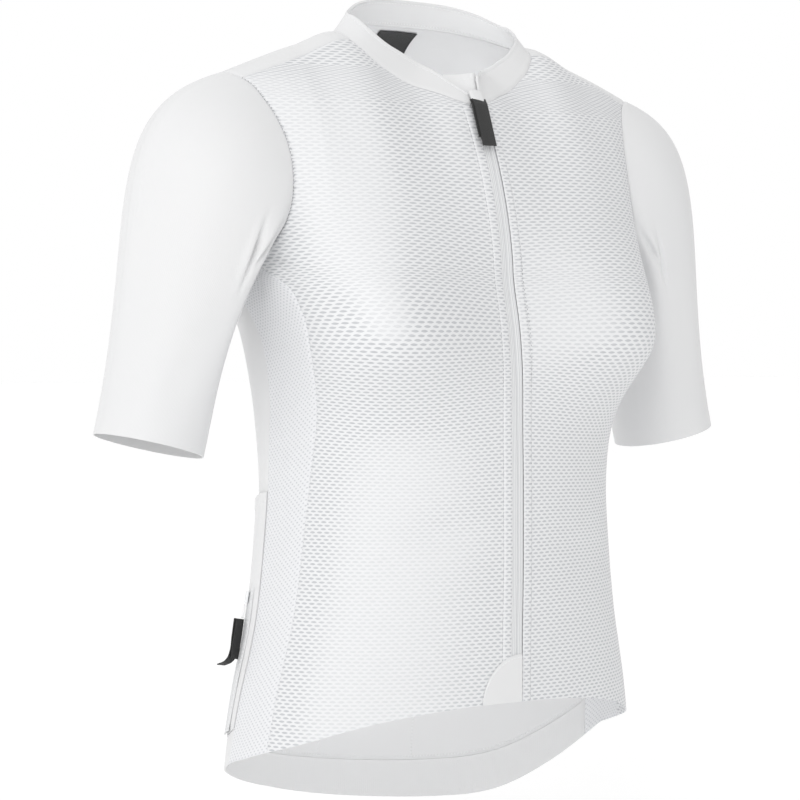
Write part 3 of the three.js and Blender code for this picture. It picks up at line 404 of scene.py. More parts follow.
def mesh_piece(name, points, faces, material, body="garment", slot="", replaces=(), uv=None,
               sharp=50):
    """One piece from points in millimetres and lists of faces, smooth but for sharp edges."""
    mesh = bpy.data.meshes.new(name)
    faces = [f for part in faces for f in np.asarray(part).tolist()]
    mesh.from_pydata((np.asarray(points) / 1000).tolist(), [], faces)
    if uv is not None:
        layer = mesh.uv_layers.new(name="Cloth")
        index = np.empty(len(mesh.loops), np.int32)
        mesh.loops.foreach_get("vertex_index", index)
        layer.data.foreach_set("uv", np.asarray(uv, np.float32)[index].ravel())
    mesh.shade_smooth()
    mesh.set_sharp_from_angle(angle=math.radians(sharp))
    mesh.materials.append(material)
    piece = bpy.data.objects.new(name, mesh)
    bpy.context.scene.collection.objects.link(piece)
    if body:
        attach(piece, body)
    if replaces:
        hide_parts(*replaces)
    return piece


def grid_faces(rows, columns, wrap=False):
    """Four-cornered faces of a grid, as an array of corner numbers with a row a cell."""
    j, i = np.meshgrid(np.arange(rows - 1), np.arange(columns if wrap else columns - 1),
                       indexing="ij")
    right = (i + 1) % columns
    return np.stack([j * columns + i, j * columns + right, (j + 1) * columns + right,
                     (j + 1) * columns + i], -1)


def shell(points, normals, inner, outer, keep=None, wrap=False, uv=None):
    """Closed wall on a grid: the grid moved out, the grid moved in, and a rim of faces along
    every edge that only one cell has. Returns points, faces and uv."""
    rows, columns = points.shape[:2]
    cells = grid_faces(rows, columns, wrap)
    quads = cells[keep] if keep is not None else cells.reshape(-1, 4)
    across = np.cross(points[1:, :1] - points[:-1, :1], points[:-1, 1:2] - points[:-1, :1])
    if (across * normals[:-1, :1]).sum() > 0:
        quads = quads[:, ::-1]
    count = rows * columns
    edges = np.stack([quads, np.roll(quads, -1, 1)], -1).reshape(-1, 2)
    key = np.sort(edges, 1) @ (count, 1)
    _, first, uses = np.unique(key, return_index=True, return_counts=True)
    rim = edges[first[uses == 1]]
    rim = np.stack([rim[:, 1], rim[:, 0], rim[:, 0] + count, rim[:, 1] + count], 1)
    flat, n = points.reshape(-1, 3), normals.reshape(-1, 3)
    both = np.concatenate([flat + n * outer, flat + n * inner])
    faces = [quads, quads[:, ::-1] + count, rim]
    if uv is None:
        return both, faces, None
    uv = uv.reshape(-1, 2)
    return both, faces, np.concatenate([uv, uv])


def cloth(name, points, material, slot, replaces=(), edges=None, keep=None, wrap=False,
          uv=None, outside=None, thick=CLOTH, body="garment"):
    """A piece of cloth on a grid of points: its sewn edges turn in by a bell curve of the
    distance to them, then the grid becomes a wall."""
    n = normals_of(points, wrap, outside)
    if edges is not None:
        points = points - n * (TURN_IN * np.exp(-(edges / TURN_OVER) ** 2))[..., None]
        n = normals_of(points, wrap, outside)
    made = shell(points, n, -thick / 2, thick / 2, keep, wrap, uv)
    piece = mesh_piece(name, made[0], made[1], material, body, slot, replaces, made[2])
    return piece, points, n


def on_all(*parts):
    """Joins meshes given as (points, faces) into one."""
    points, faces, start = [], [], 0
    for p, fs in parts:
        points.append(p)
        faces += [np.asarray(f) + start for f in fs]
        start += len(p)
    return np.concatenate(points), faces


def tube(path, radius, sides, across, closed=False):
    """A tube along a path: a circle of points at each place, at right angles to the path,
    closed by its ends' own centre points."""
    path = np.asarray(path, float)
    if closed:
        tangent = unit(np.roll(path, -1, 0) - np.roll(path, 1, 0))
    else:
        tangent = unit(np.gradient(path, axis=0))
    u = unit(np.cross(tangent, np.broadcast_to(across, path.shape)))
    v = np.cross(u, tangent)
    turn = np.arange(sides) * 2 * math.pi / sides
    radius = np.broadcast_to(radius, len(path))[:, None, None]
    rings = path[:, None] + radius * (np.cos(turn)[None, :, None] * u[:, None]
                                      + np.sin(turn)[None, :, None] * v[:, None])
    count = len(path)
    faces = grid_faces(count, sides, True).reshape(-1, 4)[:, ::-1]
    points = rings.reshape(-1, 3)
    if closed:
        last = np.arange(sides) + (count - 1) * sides
        join = np.stack([last, np.roll(last, -1), np.roll(np.arange(sides), -1),
                         np.arange(sides)], 1)[:, ::-1]
        return points, [faces, join]
    points = np.concatenate([points, path[[0, -1]]])
    first, low = np.arange(sides), (count - 1) * sides
    start = np.stack([np.roll(first, -1), first, np.full(sides, count * sides)], 1)[:, ::-1]
    end = np.stack([first + low, np.roll(first, -1) + low,
                    np.full(sides, count * sides + 1)], 1)[:, ::-1]
    return points, [faces, start, end]


def along_path(path, spacing, start):
    """Places at even steps of length on a path, as numbers of its points with fractions."""
    length = run_length(path)
    at = np.arange(start, length[-1], spacing)
    return np.interp(at, length, np.arange(len(path)))


def sample(values, places):
    """Values of rows at places given as numbers with fractions, in straight lines."""
    low = np.clip(np.floor(places).astype(int), 0, len(values) - 2)
    t = (places - low)[:, None]
    return values[low] * (1 - t) + values[low + 1] * t


def stitches(path, normals, long=2.3, gap=1.1, wide=0.42, rise=0.26, skew=0.0):
    """Thread showing along a line: for each stitch a small spindle of three rings of four
    points and two tips, laid on the cloth along the line."""
    path, normals = np.asarray(path, float), np.asarray(normals, float)
    at = along_path(path, long + gap, gap)
    middle, n = sample(path, at), unit(sample(normals, at))
    ahead = unit(sample(path, np.minimum(at + 0.5, len(path) - 1))
                 - sample(path, np.maximum(at - 0.5, 0)))
    side = unit(np.cross(n, ahead))
    ahead = unit(ahead + skew * side)
    side = np.cross(n, ahead)
    rings = np.array([(-0.4, 0.7), (0, 1), (0.4, 0.7)])
    square = np.array([(1, 0), (0, 1), (-1, 0), (0, -1)])
    points = (middle[:, None, None] + ahead[:, None, None] * (rings[:, 0] * long)[:, None, None]
              + side[:, None, None] * (rings[:, 1:] * square[:, 0] * wide / 2)[..., None]
              + n[:, None, None] * (rings[:, 1:] * square[:, 1] * rise)[..., None])
    tips = middle[:, None] + ahead[:, None] * (np.array([-0.5, 0.5]) * long)[:, None]
    points = np.concatenate([points.reshape(-1, 12, 3), tips], 1)
    one = [grid_faces(3, 4, True).reshape(-1, 4),
           np.array([(i, 12, (i + 1) % 4) for i in range(4)]),
           np.array([(8 + (i + 1) % 4, 13, 8 + i) for i in range(4)])]
    offset = np.arange(len(middle)) * 14
    faces = [(f[None] + offset[:, None, None]).reshape(-1, f.shape[1]) for f in one]
    return points.reshape(-1, 3), faces


def overlock(path, normals, long=2.6, gap=0.2, skew=1.1):
    """Two crossing rows of slanted stitches over a cut edge."""
    return [stitches(path, normals, long, gap, 0.5, 0.4, skew=k) for k in (skew, -skew)]


def flat_uv(points):
    """Cloth coordinates of a grid in millimetres: length run across and up."""
    return np.stack([run_length(points, 1), run_length(points, 0)], -1)


def refined(points, rows, columns):
    """A finer grid through a coarse one, by smooth lines along its rows and columns."""
    def one_way(p, count):
        at = np.arange(len(p), dtype=float)
        fine = np.linspace(0, len(p) - 1, count)
        return np.stack([along(fine, at, p[:, k]) for k in range(p.shape[1])], 1)
    r, c = points.shape[:2]
    tall = one_way(points.reshape(r, -1), rows).reshape(rows, c, 3)
    wide = one_way(tall.transpose(1, 0, 2).reshape(c, -1), columns)
    return wide.reshape(columns, rows, 3).transpose(1, 0, 2)


# Materials

class Tree:
    """Nodes of one material; each call adds a node and returns what it gives."""

    def __init__(self, name, color, rough, sheen=0.0, coat=0.0):
        self.material = bpy.data.materials.new(name)
        self.material.use_nodes = True
        self.nodes = self.material.node_tree.nodes
        self.links = self.material.node_tree.links
        self.shader = self.nodes["Principled BSDF"]
        self.set("Base Color", (*color, 1))
        self.set("Roughness", rough)
        self.set("Sheen Weight", sheen)
        self.set("Sheen Roughness", 0.45)
        self.set("Coat Weight", coat)

    def set(self, socket, value):
        self.shader.inputs[socket].default_value = value

    def feed(self, value, socket):
        if isinstance(value, (int, float)):
            socket.default_value = value
        elif isinstance(value, tuple):
            socket.default_value = (*value, 1)[:len(socket.default_value)]
        else:
            self.links.new(value, socket)

    def math(self, kind, *values):
        node = self.nodes.new("ShaderNodeMath")
        node.operation = kind
        for value, socket in zip(values, node.inputs):
            self.feed(value, socket)
        return node.outputs[0]

    def place(self, uv=True):
        """The piece's own cloth coordinates in millimetres, or its object's in metres."""
        if uv:
            node = self.nodes.new("ShaderNodeUVMap")
            node.uv_map = "Cloth"
            return node.outputs[0]
        return self.nodes.new("ShaderNodeTexCoord").outputs["Object"]

    def split(self, vector):
        node = self.nodes.new("ShaderNodeSeparateXYZ")
        self.feed(vector, node.inputs[0])
        return node.outputs[0], node.outputs[1], node.outputs[2]

    def dot(self, vector, with_):
        node = self.nodes.new("ShaderNodeVectorMath")
        node.operation = "DOT_PRODUCT"
        self.links.new(vector, node.inputs[0])
        node.inputs[1].default_value = with_
        return node.outputs["Value"]

    def noise(self, place, scale, detail=2.0):
        node = self.nodes.new("ShaderNodeTexNoise")
        self.feed(place, node.inputs["Vector"])
        node.inputs["Scale"].default_value = scale
        node.inputs["Detail"].default_value = detail
        return node.outputs["Fac"]

    def step(self, value, low, high, give_low=0.0, give_high=1.0):
        node = self.nodes.new("ShaderNodeMapRange")
        node.interpolation_type = "SMOOTHSTEP"
        for socket, v in zip(node.inputs, (value, low, high, give_low, give_high)):
            self.feed(v, socket)
        return node.outputs[0]

    def color(self, factor, low, high):
        node = self.nodes.new("ShaderNodeMix")
        node.data_type = "RGBA"
        self.feed(factor, node.inputs[0])
        self.feed(low, node.inputs[6])
        self.feed(high, node.inputs[7])
        return node.outputs[2]

    def bump(self, height, distance, strength=1.0):
        node = self.nodes.new("ShaderNodeBump")
        node.inputs["Strength"].default_value = strength
        node.inputs["Distance"].default_value = distance
        self.feed(height, node.inputs["Height"])
        self.links.new(node.outputs[0], self.shader.inputs["Normal"])

    def paint(self, value, socket="Base Color"):
        self.links.new(value, self.shader.inputs[socket])


def wave(tree, value, period):
    """A smooth wave from 0 to 1 with a period in the value's own units."""
    turn = tree.math("MULTIPLY", value, 2 * math.pi / period)
    return tree.math("MULTIPLY_ADD", tree.math("COSINE", turn), 0.5, 0.5)


def cell(tree, u, v):
    """Place within a staggered net: along and across the hole, each from -0.5 to 0.5."""
    odd = tree.math("MULTIPLY", tree.math("MODULO", tree.math("FLOOR", v), 2.0), 0.5)
    du = tree.math("SUBTRACT", tree.math("FRACT", tree.math("ADD", u, odd)), 0.5)
    dv = tree.math("SUBTRACT", tree.math("FRACT", v), 0.5)
    return du, dv


HIGHLIGHT_FACING = (-0.5, -0.84, 0.2)     # direction of the light: where the net faces it, the holes' painted shade fades away, a painted highlight


def net_material():
    """Open net: staggered lens-shaped holes between raised white yarn. The holes are painted grey
    as painted shade of the hollow behind them, and that painted shade fades where the net faces
    the light, a painted highlight.
    """
    t = Tree("front_net", (0.76, 0.765, 0.775), 0.5, sheen=0.12)
    u, v, _ = t.split(t.place())
    drift = t.noise(t.place(uv=False), 22.0)
    v = t.math("ADD", v, t.math("MULTIPLY", drift, 0.5))
    du, dv = cell(t, u, v)
    lens = t.math("SUBTRACT", 0.3, t.math("MULTIPLY", t.math("MULTIPLY", du, du), 1.75))
    hole = t.step(t.math("SUBTRACT", lens, t.math("ABSOLUTE", dv)), -0.07, 0.1)
    # painted highlight: where the net faces the light, the holes' painted shade falls to 0.3 of
    # its depth
    highlight_fade = t.step(t.dot(t.nodes.new("ShaderNodeNewGeometry").outputs["Normal"], HIGHLIGHT_FACING), 0.86,
                   0.99, 1.0, 0.3)
    # painted shade: holes grey against the white yarn
    t.paint(t.color(t.math("MULTIPLY", hole, highlight_fade), (0.775, 0.78, 0.79),
                    (0.52, 0.53, 0.55)))
    yarn = t.noise(t.place(uv=False), 1400.0, 1.0)
    height = t.math("MULTIPLY_ADD", yarn, 0.12, t.math("SUBTRACT", 1.0, hole))
    t.bump(height, 0.0005, 0.5)
    return t.material


def side_material():
    """Finer net of the side panels: small round holes in diagonal rows, the holes painted darker
    grey as painted shade of the hollow behind them.
    """
    t = Tree("side_net", (0.74, 0.75, 0.76), 0.62, sheen=0.12)
    u, v, _ = t.split(t.place())
    du, dv = cell(t, t.math("DIVIDE", u, 4.0), t.math("DIVIDE", v, 2.2))
    away = t.math("ADD", t.math("MULTIPLY", du, t.math("MULTIPLY", du, 1.6)),
                  t.math("MULTIPLY", dv, t.math("MULTIPLY", dv, 1.0)))
    hole = t.step(away, 0.02, 0.11, 1.0, 0.0)
    # painted shade: holes darker than the yarn
    t.paint(t.color(hole, (0.765, 0.77, 0.785), (0.58, 0.59, 0.61)))
    t.bump(t.math("SUBTRACT", 1.0, hole), 0.0004, 0.45)
    return t.material


def smooth_material(name="smooth_knit", tone=0.74, rib=0.0):
    """Smooth warp knit: very fine ribs and yarn grain, with faint soft patches."""
    t = Tree(name, (tone, tone * 1.004, tone * 1.014), 0.55, sheen=0.12)
    u, v, _ = t.split(t.place())
    fine = wave(t, u, 1.05 if not rib else rib)
    loops = wave(t, v, 0.8)
    grain = t.noise(t.place(uv=False), 900.0, 2.0)
    patch = t.noise(t.place(uv=False), 9.0, 2.0)
    t.paint(t.color(patch, (tone * 0.985, tone * 0.99, tone), (tone * 1.012,) * 3))
    height = t.math("MULTIPLY_ADD", fine, 0.6, t.math("MULTIPLY", loops, 0.2))
    height = t.math("MULTIPLY_ADD", grain, 0.5, height)
    t.bump(height, 0.00025 if rib else 0.00014, 0.5 if rib else 0.35)
    return t.material


def tape_material():
    """Zip tape: fine ribs along the zip over a woven ground, with painted shade in the grooves
    between the ribs.
    """
    t = Tree("zip_tape", (0.8, 0.81, 0.82), 0.5, sheen=0.15)
    u, v, _ = t.split(t.place())
    rib = wave(t, u, 1.55)
    height = t.math("ADD", rib, t.math("MULTIPLY", wave(t, v, 0.9), 0.5))
    # painted shade: darker in the rib grooves, lighter on the crests
    t.paint(t.color(rib, (0.6, 0.61, 0.62), (0.8, 0.805, 0.81)))
    t.bump(height, 0.0002, 0.5)
    return t.material


def black_material():
    """Black woven tape: short raised floats in staggered rows, with a soft sheen; the colour is
    lighter on the floats and darker between them, a painted shade.
    """
    t = Tree("black_tape", (0.02, 0.02, 0.02), 0.6, sheen=0.12)
    u, v, _ = t.split(t.place())
    du, dv = cell(t, t.math("DIVIDE", u, 1.1), t.math("DIVIDE", v, 0.55))
    float_ = t.math("SUBTRACT", 0.6, t.math("ADD", t.math("ABSOLUTE", du),
                                            t.math("ABSOLUTE", dv)))
    # painted shade: darker between the raised floats
    t.paint(t.color(t.step(float_, 0.0, 0.5), (0.012, 0.012, 0.0125), (0.03, 0.031, 0.029)))
    t.bump(float_, 0.0002, 0.7)
    return t.material


def thread_material():
    t = Tree("white_thread", (0.86, 0.865, 0.87), 0.45, sheen=0.2)
    grain = t.noise(t.place(uv=False), 1800.0, 1.0)
    t.paint(t.color(grain, (0.74, 0.75, 0.76), (0.92, 0.92, 0.925)))
    return t.material


def shade_thread_material():
    """Thread of a tight stitch line, painted dark grey as painted shade from the cloth it sinks
    into.
    """
    t = Tree("painted_shade_thread", (0.3, 0.31, 0.32), 0.6)
    grain = t.noise(t.place(uv=False), 1800.0, 1.0)
    t.paint(t.color(grain, (0.24, 0.25, 0.26), (0.42, 0.43, 0.44)))
    return t.material


def cord_material():
    """White braided cord: two crossing sets of slanted strands, painted darker between the
    strands as painted shade.
    """
    t = Tree("white_cord", (0.84, 0.84, 0.84), 0.6, sheen=0.2)
    u, v, _ = t.split(t.place())
    one = wave(t, t.math("ADD", u, v), 0.9)
    two = wave(t, t.math("SUBTRACT", u, v), 0.9)
    t.bump(t.math("MAXIMUM", one, two), 0.0002, 0.6)
    # painted shade: darker between the strands
    t.paint(t.color(t.math("MAXIMUM", one, two), (0.66, 0.66, 0.67), (0.88, 0.88, 0.88)))
    return t.material


def paint_material():
    t = Tree("white_paint", (0.8, 0.81, 0.82), 0.32, coat=0.4)
    rub = t.noise(t.place(uv=False), 300.0, 3.0)
    t.paint(t.color(t.step(rub, 0.55, 0.75), (0.82, 0.83, 0.84), (0.7, 0.71, 0.72)))
    t.paint(t.step(rub, 0.3, 0.8, 0.28, 0.42), "Roughness")
    return t.material


NET = net_material()
SIDE_NET = side_material()
SMOOTH = smooth_material()
RIBBED = smooth_material("ribbed_knit", 0.74, rib=1.9)
TAPE = tape_material()
BLACK = black_material()
THREAD = thread_material()
SHADE_THREAD = shade_thread_material()
CORD = cord_material()
PAINT = paint_material()


# Camera, light and floor

def camera():
    """Level camera at the photograph's angle, with its off-centre frame as a shift."""
    data = bpy.data.cameras.new("Camera")
    turn = math.radians(VIEW["turn"])
    away = VIEW["away"] / 1000
    data.sensor_width = SENSOR
    data.lens = VIEW["px_per_rad"] / PHOTO * SENSOR
    data.shift_x = -(VIEW["centre"][0] - PHOTO / 2) / PHOTO
    data.shift_y = (VIEW["centre"][1] - PHOTO / 2) / PHOTO
    data.clip_start, data.clip_end = 0.1, 100
    cam = bpy.data.objects.new("Camera", data)
    cam.location = (-math.sin(turn) * away, -math.cos(turn) * away, VIEW["level"] / 1000)
    cam.rotation_euler = (math.pi / 2, 0, -turn)
    bpy.context.scene.collection.objects.link(cam)
    bpy.context.scene.camera = cam


def lamp(name, place, aim, size, watts, unseen=False):
    data = bpy.data.lights.new(name, "AREA")
    data.shape, data.size, data.size_y = "RECTANGLE", size[0], size[1]
    data.energy = watts
    light = bpy.data.objects.new(name, data)
    light.location = place
    light.visible_camera = not unseen
    light.rotation_euler = (Vector(aim) - Vector(place)).to_track_quat("-Z", "Y").to_euler()
    bpy.context.scene.collection.objects.link(light)


def studio():
    """White surroundings, darker on the side of the wearer's left, over a pale floor, a soft
    light from the wearer's right, and two weak lights inside the thin cloth, which stand for
    the light that comes through it."""
    world = bpy.data.worlds.new("Studio")
    world.use_nodes = True
    nodes, links = world.node_tree.nodes, world.node_tree.links
    direction = nodes.new("ShaderNodeTexCoord").outputs["Generated"]
    toward = nodes.new("ShaderNodeVectorMath")
    toward.operation = "DOT_PRODUCT"
    links.new(direction, toward.inputs[0])
    toward.inputs[1].default_value = (0.85, -0.52, 0)
    fall = nodes.new("ShaderNodeMapRange")
    fall.interpolation_type = "SMOOTHSTEP"
    for socket, value in zip(fall.inputs[1:5], (0.2, 0.9, 1.0, 0.6)):
        socket.default_value = value
    links.new(toward.outputs["Value"], fall.inputs[0])
    links.new(fall.outputs[0], nodes["Background"].inputs[1])
    nodes["Background"].inputs[0].default_value = (1, 1, 1, 1)
    bpy.context.scene.world = world
    lamp("Key", (-2.2, -1.9, 1.1), (0, 0, -0.3), (1.4, 1.4), 19)
    lamp("Through_top", (0, -0.01, -0.26), (0, 0.03, 0), (0.14, 0.08), 0.26, unseen=True)
    lamp("Through_hem", (0, -0.05, -0.42), (0, 0.09, -0.5), (0.12, 0.05), 0.1, unseen=True)
    size = 30
    z = FLOOR / 1000
    mesh = bpy.data.meshes.new("Floor")
    mesh.from_pydata([(-size, -size, z), (size, -size, z), (size, size, z), (-size, size, z)],
                     [], [(0, 1, 2, 3)])
    t = Tree("floor_paper", (0.97, 0.97, 0.97), 0.9)
    t.paint(t.color(t.noise(t.place(uv=False), 3.0), (0.96, 0.96, 0.96), (0.98, 0.98, 0.98)))
    t.set("Emission Color", (1, 1, 1, 1))
    t.set("Emission Strength", 0.1)
    mesh.materials.append(t.material)
    floor = bpy.data.objects.new("Floor", mesh)
    bpy.context.scene.collection.objects.link(floor)
    bpy.context.scene.view_settings.view_transform = "Standard"


camera()
studio()


# Fronts

NET_ROW = 2.6                # height of a row of holes
NET_PITCH = table("z pitch", (-540, 6.6), (-430, 6.2), (-343, 5.9), (-300, 6.2), (-250, 7.2),
                  (-200, 8.6), (-120, 9.0), (-40, 8.6))
NET_SPREAD = {"u": 95, "wide": 80, "tall": 80, "by": 0.22}   # rows spread over the bust
FOLD_WIDE = 8.5              # folded strip of net beside the zip
FOLD_STEPS = np.array([0, 0.4, 1, 2, 3.2, 4.6, 6, 6.8, 7.2, 7.5, 7.8, 8.2])
FOLD_STITCH = 9              # column of its stitch line
ARMPIT_ROW = 127             # first row of a front above the armpit
SIDES = {"right": -1, "left": 1}


def front_grid(m):
    """Grid of a front from its folded edge to its side and from hem to yoke seam: rings up to
    the armpits, then arches from the zip, then arches from the neck seam. The first columns
    keep their distance from the edge. Returns points and the row of the neck's corner."""
    turn = spaced(62, 156)
    fold = ZIP_EDGE + FOLD_STEPS
    inner = ZIP_EDGE + FOLD_WIDE
    low = np.concatenate([[0, 0.0016, 0.004, 0.008], np.linspace(0.012, 1, 122)])[:, None]
    z = mix(hem_at(0), CHEST, low)
    phi = np.concatenate([angle_at(fold, z), mix(angle_at(inner, z),
                                                 seam_angle(SIDE_FRONT, low), turn)], 1)
    half, _, _, round_ = body_at(CHEST)
    phi_chest = mix(angle_at(inner, CHEST), angle_at(ARM_X, CHEST), turn)
    part = (half * np.sin(phi_chest) ** (2 / round_) - inner) / (ARM_X - inner)
    k = np.linspace(0, 1, 50)[1:, None]
    s = spaced(34, 100)[1:, None]
    neck_x, neck_rise = neck_point(mix(NECK_START, YOKE_END, s), "front")
    x0 = np.concatenate([np.full_like(k, ZIP_EDGE), neck_x])
    begin = np.concatenate([k * CORNER, neck_rise])
    end = np.concatenate([k * CORNER_RISE, mix(CORNER_RISE, YOKE_RISE, s)])
    x1 = along(end, ARMHOLE["share"], ARMHOLE["front"])
    w = np.concatenate([FOLD_STEPS / (x1 - x0), mix(FOLD_WIDE / (x1 - x0), 1, part)], 1)
    rise = mix(begin, end, w)
    x = mix(x0, along(rise, ARMHOLE["share"], ARMHOLE["front"]), w)
    points = np.concatenate([low_at(m * phi, low), arch(m * x, front_climb(rise))])
    return draped(points), len(low) + len(k) - 1


def front_edges(points, first):
    """Distance of each point of a front to its sewn edges: side and armhole, neck, yoke."""
    wide = run_length(points, 1)
    up = run_length(points, 0)
    edges = wide[:, -1:] - wide
    edges[first:] = np.minimum(edges[first:], wide[first:])
    edges[first + 1:] = np.minimum(edges[first + 1:], (up[-1:] - up)[first + 1:])
    return edges


def net_uv(points, first):
    """Cloth coordinates of a front: number of holes from the zip, by the length of a row, and
    number of rows of holes, by the length up the panel's middle, spread over the bust."""
    s = run_length(points, 1)
    s[first:] += np.abs(points[first:, :1, 0]) - ZIP_EDGE
    z = points[..., 2]
    middle = points.shape[1] // 2
    up = run_length(points[:, middle])
    mid_z = z[:, middle]
    v = np.interp(z, mid_z, up) + np.minimum(z - mid_z[0], 0) \
        + np.maximum(z - mid_z[-1], 0) * 1.3
    dv = v - np.interp(BUST["z"], mid_z, up)
    near = np.exp(-((s - NET_SPREAD["u"]) / NET_SPREAD["wide"]) ** 2
                  - (dv / NET_SPREAD["tall"]) ** 2)
    v = v - NET_SPREAD["by"] * dv * near
    return np.stack([s / along(z, NET_PITCH["z"], NET_PITCH["pitch"]), v / NET_ROW], -1)


def fold_relief(points, first):
    """Height of the folded strip beside the zip: 0.7 mm that falls off past the
    stitch line, where the thread pulls a groove in."""
    s = run_length(points, 1)
    step = 0.7 * (1 - ease(share(s, 7.4, 8.8))) - 0.9 * np.exp(-((s - 7.5) / 0.55) ** 2) \
        - 0.5 * np.exp(-(s / 0.6) ** 2)
    step[first + 1:] = 0
    return step


def threads(name, runs, material=THREAD, slot="white_cord"):
    """Sewing: every run of stitches of one seam in one mesh."""
    points, faces = on_all(*runs)
    return mesh_piece(name, points, faces, material, slot=slot)


front_seams, arm_seams = [], []
FRONTS = {}
for side, m in SIDES.items():
    points, corner = front_grid(m)
    points = points + normals_of(points) * fold_relief(points, corner)[..., None]
    piece, p, n = cloth("net_front_" + side, points, NET, "front_mesh", ["front_" + side],
                        edges=front_edges(points, corner), uv=net_uv(points, corner))
    FRONTS[side] = (p, n, corner)
    top = p + n * (CLOTH / 2)
    line = slice(0, corner + 1)
    front_seams.append(stitches(top[line, FOLD_STITCH], n[line, FOLD_STITCH], 1.5, 1.5))
    arm = slice(ARMPIT_ROW, None)
    arm_seams.append(stitches(top[arm, -4], n[arm, -4], 1.5, 1.1, 0.5, 0.25, skew=m * 0.9))
# painted shade: the zip and armhole stitch lines use the dark painted-shade thread
threads("zip_stitching", front_seams, material=SHADE_THREAD)
threads("armhole_stitching", arm_seams, material=SHADE_THREAD)


# Side panels

def side_grid(m):
    rows = np.concatenate([[0, 0.001, 0.003], np.linspace(0.007, 1, 176)])
    rows = np.concatenate([rows[:-1], [0.9935, 0.9965, 0.9988, 1]])[:, None]
    phi = mix(seam_angle(SIDE_FRONT, rows), seam_angle(SIDE_BACK, rows), spaced(22, 46))
    return draped(low_at(m * phi, rows))


for side, m in SIDES.items():
    points = side_grid(m)
    wide, up = run_length(points, 1), run_length(points, 0)
    edges = np.minimum(np.minimum(wide, wide[:, -1:] - wide), up[-1:] - up)
    uv = np.stack([wide - wide[:, -1:] / 2, up], -1)
    piece, p, n = cloth("net_side_" + side, points, SIDE_NET, "side_mesh", ["side_" + side],
                        edges=edges, uv=uv)


# Back with its shoulder strips, hem band and pockets

OUTER = spaced(34, 90)
INNER = spaced(64, 176)
BACK_T = np.concatenate([-mix(NECK_SHARE, 1, OUTER)[:0:-1], mix(-NECK_SHARE, NECK_SHARE, INNER),
                         mix(NECK_SHARE, 1, OUTER)[1:]])


def back_low(t, rows):
    """Back below the armpits by share of the way from its middle to a side seam."""
    chest = math.pi - angle_at(np.abs(t) * ARM_X, CHEST)
    reach = math.pi - seam_angle(SIDE_BACK, rows)
    away = (math.pi - chest) / angle_at(ARM_X, CHEST) * reach
    return low_at(np.where(t < 0, -1, 1) * (math.pi - away), rows)


def back_high(t, rise):
    """Back above the armpits, under the neck seam's own height where it has one."""
    inner = np.abs(t) < NECK_SHARE - 1e-6
    neck_x, neck_rise = neck_point(np.minimum(np.abs(t) / NECK_SHARE, 1), "back")
    height = rise * np.where(inner, neck_rise, 1)
    end = t * along(neck_rise, ARMHOLE["share"], ARMHOLE["back"])
    x = t * along(height, ARMHOLE["share"], ARMHOLE["back"])
    x = x + np.where(inner, (np.sign(t) * neck_x - end) * rise**3, 0)
    return arch(x, back_climb(height))


def strip_rows(t, s):
    """Shoulder strips in front of the shoulder line, down to the yoke seam."""
    w = np.maximum((np.abs(t) - NECK_SHARE) / (1 - NECK_SHARE), 0)
    neck_x, neck_rise = neck_point(mix(1, YOKE_END, s), "front")
    rise = mix(neck_rise, mix(1, YOKE_RISE, s), w)
    x = mix(neck_x, along(rise, ARMHOLE["share"], ARMHOLE["front"]), w)
    return arch(np.where(t < 0, -1, 1) * x, front_climb(rise))


low = np.concatenate([[BAND_ROW, 0.0725, 0.076], np.linspace(0.08, 1, 142)])[:, None]
high = spaced(74, 195)[1:, None]
strip = spaced(10, 26)[1:, None]
BACK = draped(np.concatenate([back_low(BACK_T, low), back_high(BACK_T, high),
                              strip_rows(BACK_T, strip)]))
RIDGE = len(low) + len(high) - 1
in_neck = np.abs(BACK_T) < NECK_SHARE - 1e-6
keep = np.ones((BACK.shape[0] - 1, BACK.shape[1] - 1), bool)
keep[RIDGE:, in_neck[:-1] | in_neck[1:]] = False
wide, up = run_length(BACK, 1), run_length(BACK, 0)
edges = np.minimum(np.minimum(wide, wide[:, -1:] - wide), up)
edges[:, in_neck] = np.minimum(edges, up[RIDGE:RIDGE + 1] - up)[:, in_neck]
edges[:, ~in_neck] = np.minimum(edges, up[-1:] - up)[:, ~in_neck]
neck_side = np.abs(np.abs(BACK_T) - NECK_SHARE) * SHOULDER_HALF
edges[RIDGE:] = np.minimum(edges[RIDGE:], neck_side)
middle = wide[:, wide.shape[1] // 2][:, None]
BACK_UV = np.stack([wide - middle, up], -1)
piece, BACK_P, BACK_N = cloth("back_and_yoke", BACK, SMOOTH, "smooth_jersey", ["back"],
                              edges=edges, keep=keep, uv=BACK_UV)

# Hem band
rows = np.concatenate([[0, 0.0012, 0.003, 0.006], np.linspace(0.01, BAND_ROW - 0.008, 16),
                       [BAND_ROW - 0.005, BAND_ROW - 0.0025, BAND_ROW]])[:, None]
BAND = draped(back_low(BACK_T, rows))
wide, up = run_length(BAND, 1), run_length(BAND, 0)
edges = np.minimum(np.minimum(wide, wide[:, -1:] - wide), up[-1:] - up)
piece, BAND_P, BAND_N = cloth("ribbed_hem_band", BAND, RIBBED, "smooth_jersey", ["hem_band"],
                              edges=edges, uv=np.stack([wide, up], -1), thick=1.1)
inside = BACK_P[2] - BACK_N[2] * (CLOTH / 2)
threads("hem_band_overlock", overlock(inside, -BACK_N[2]) + [
    stitches(BAND_P[-3] + BAND_N[-3] * 0.55, BAND_N[-3], 2.2, 0.8)])

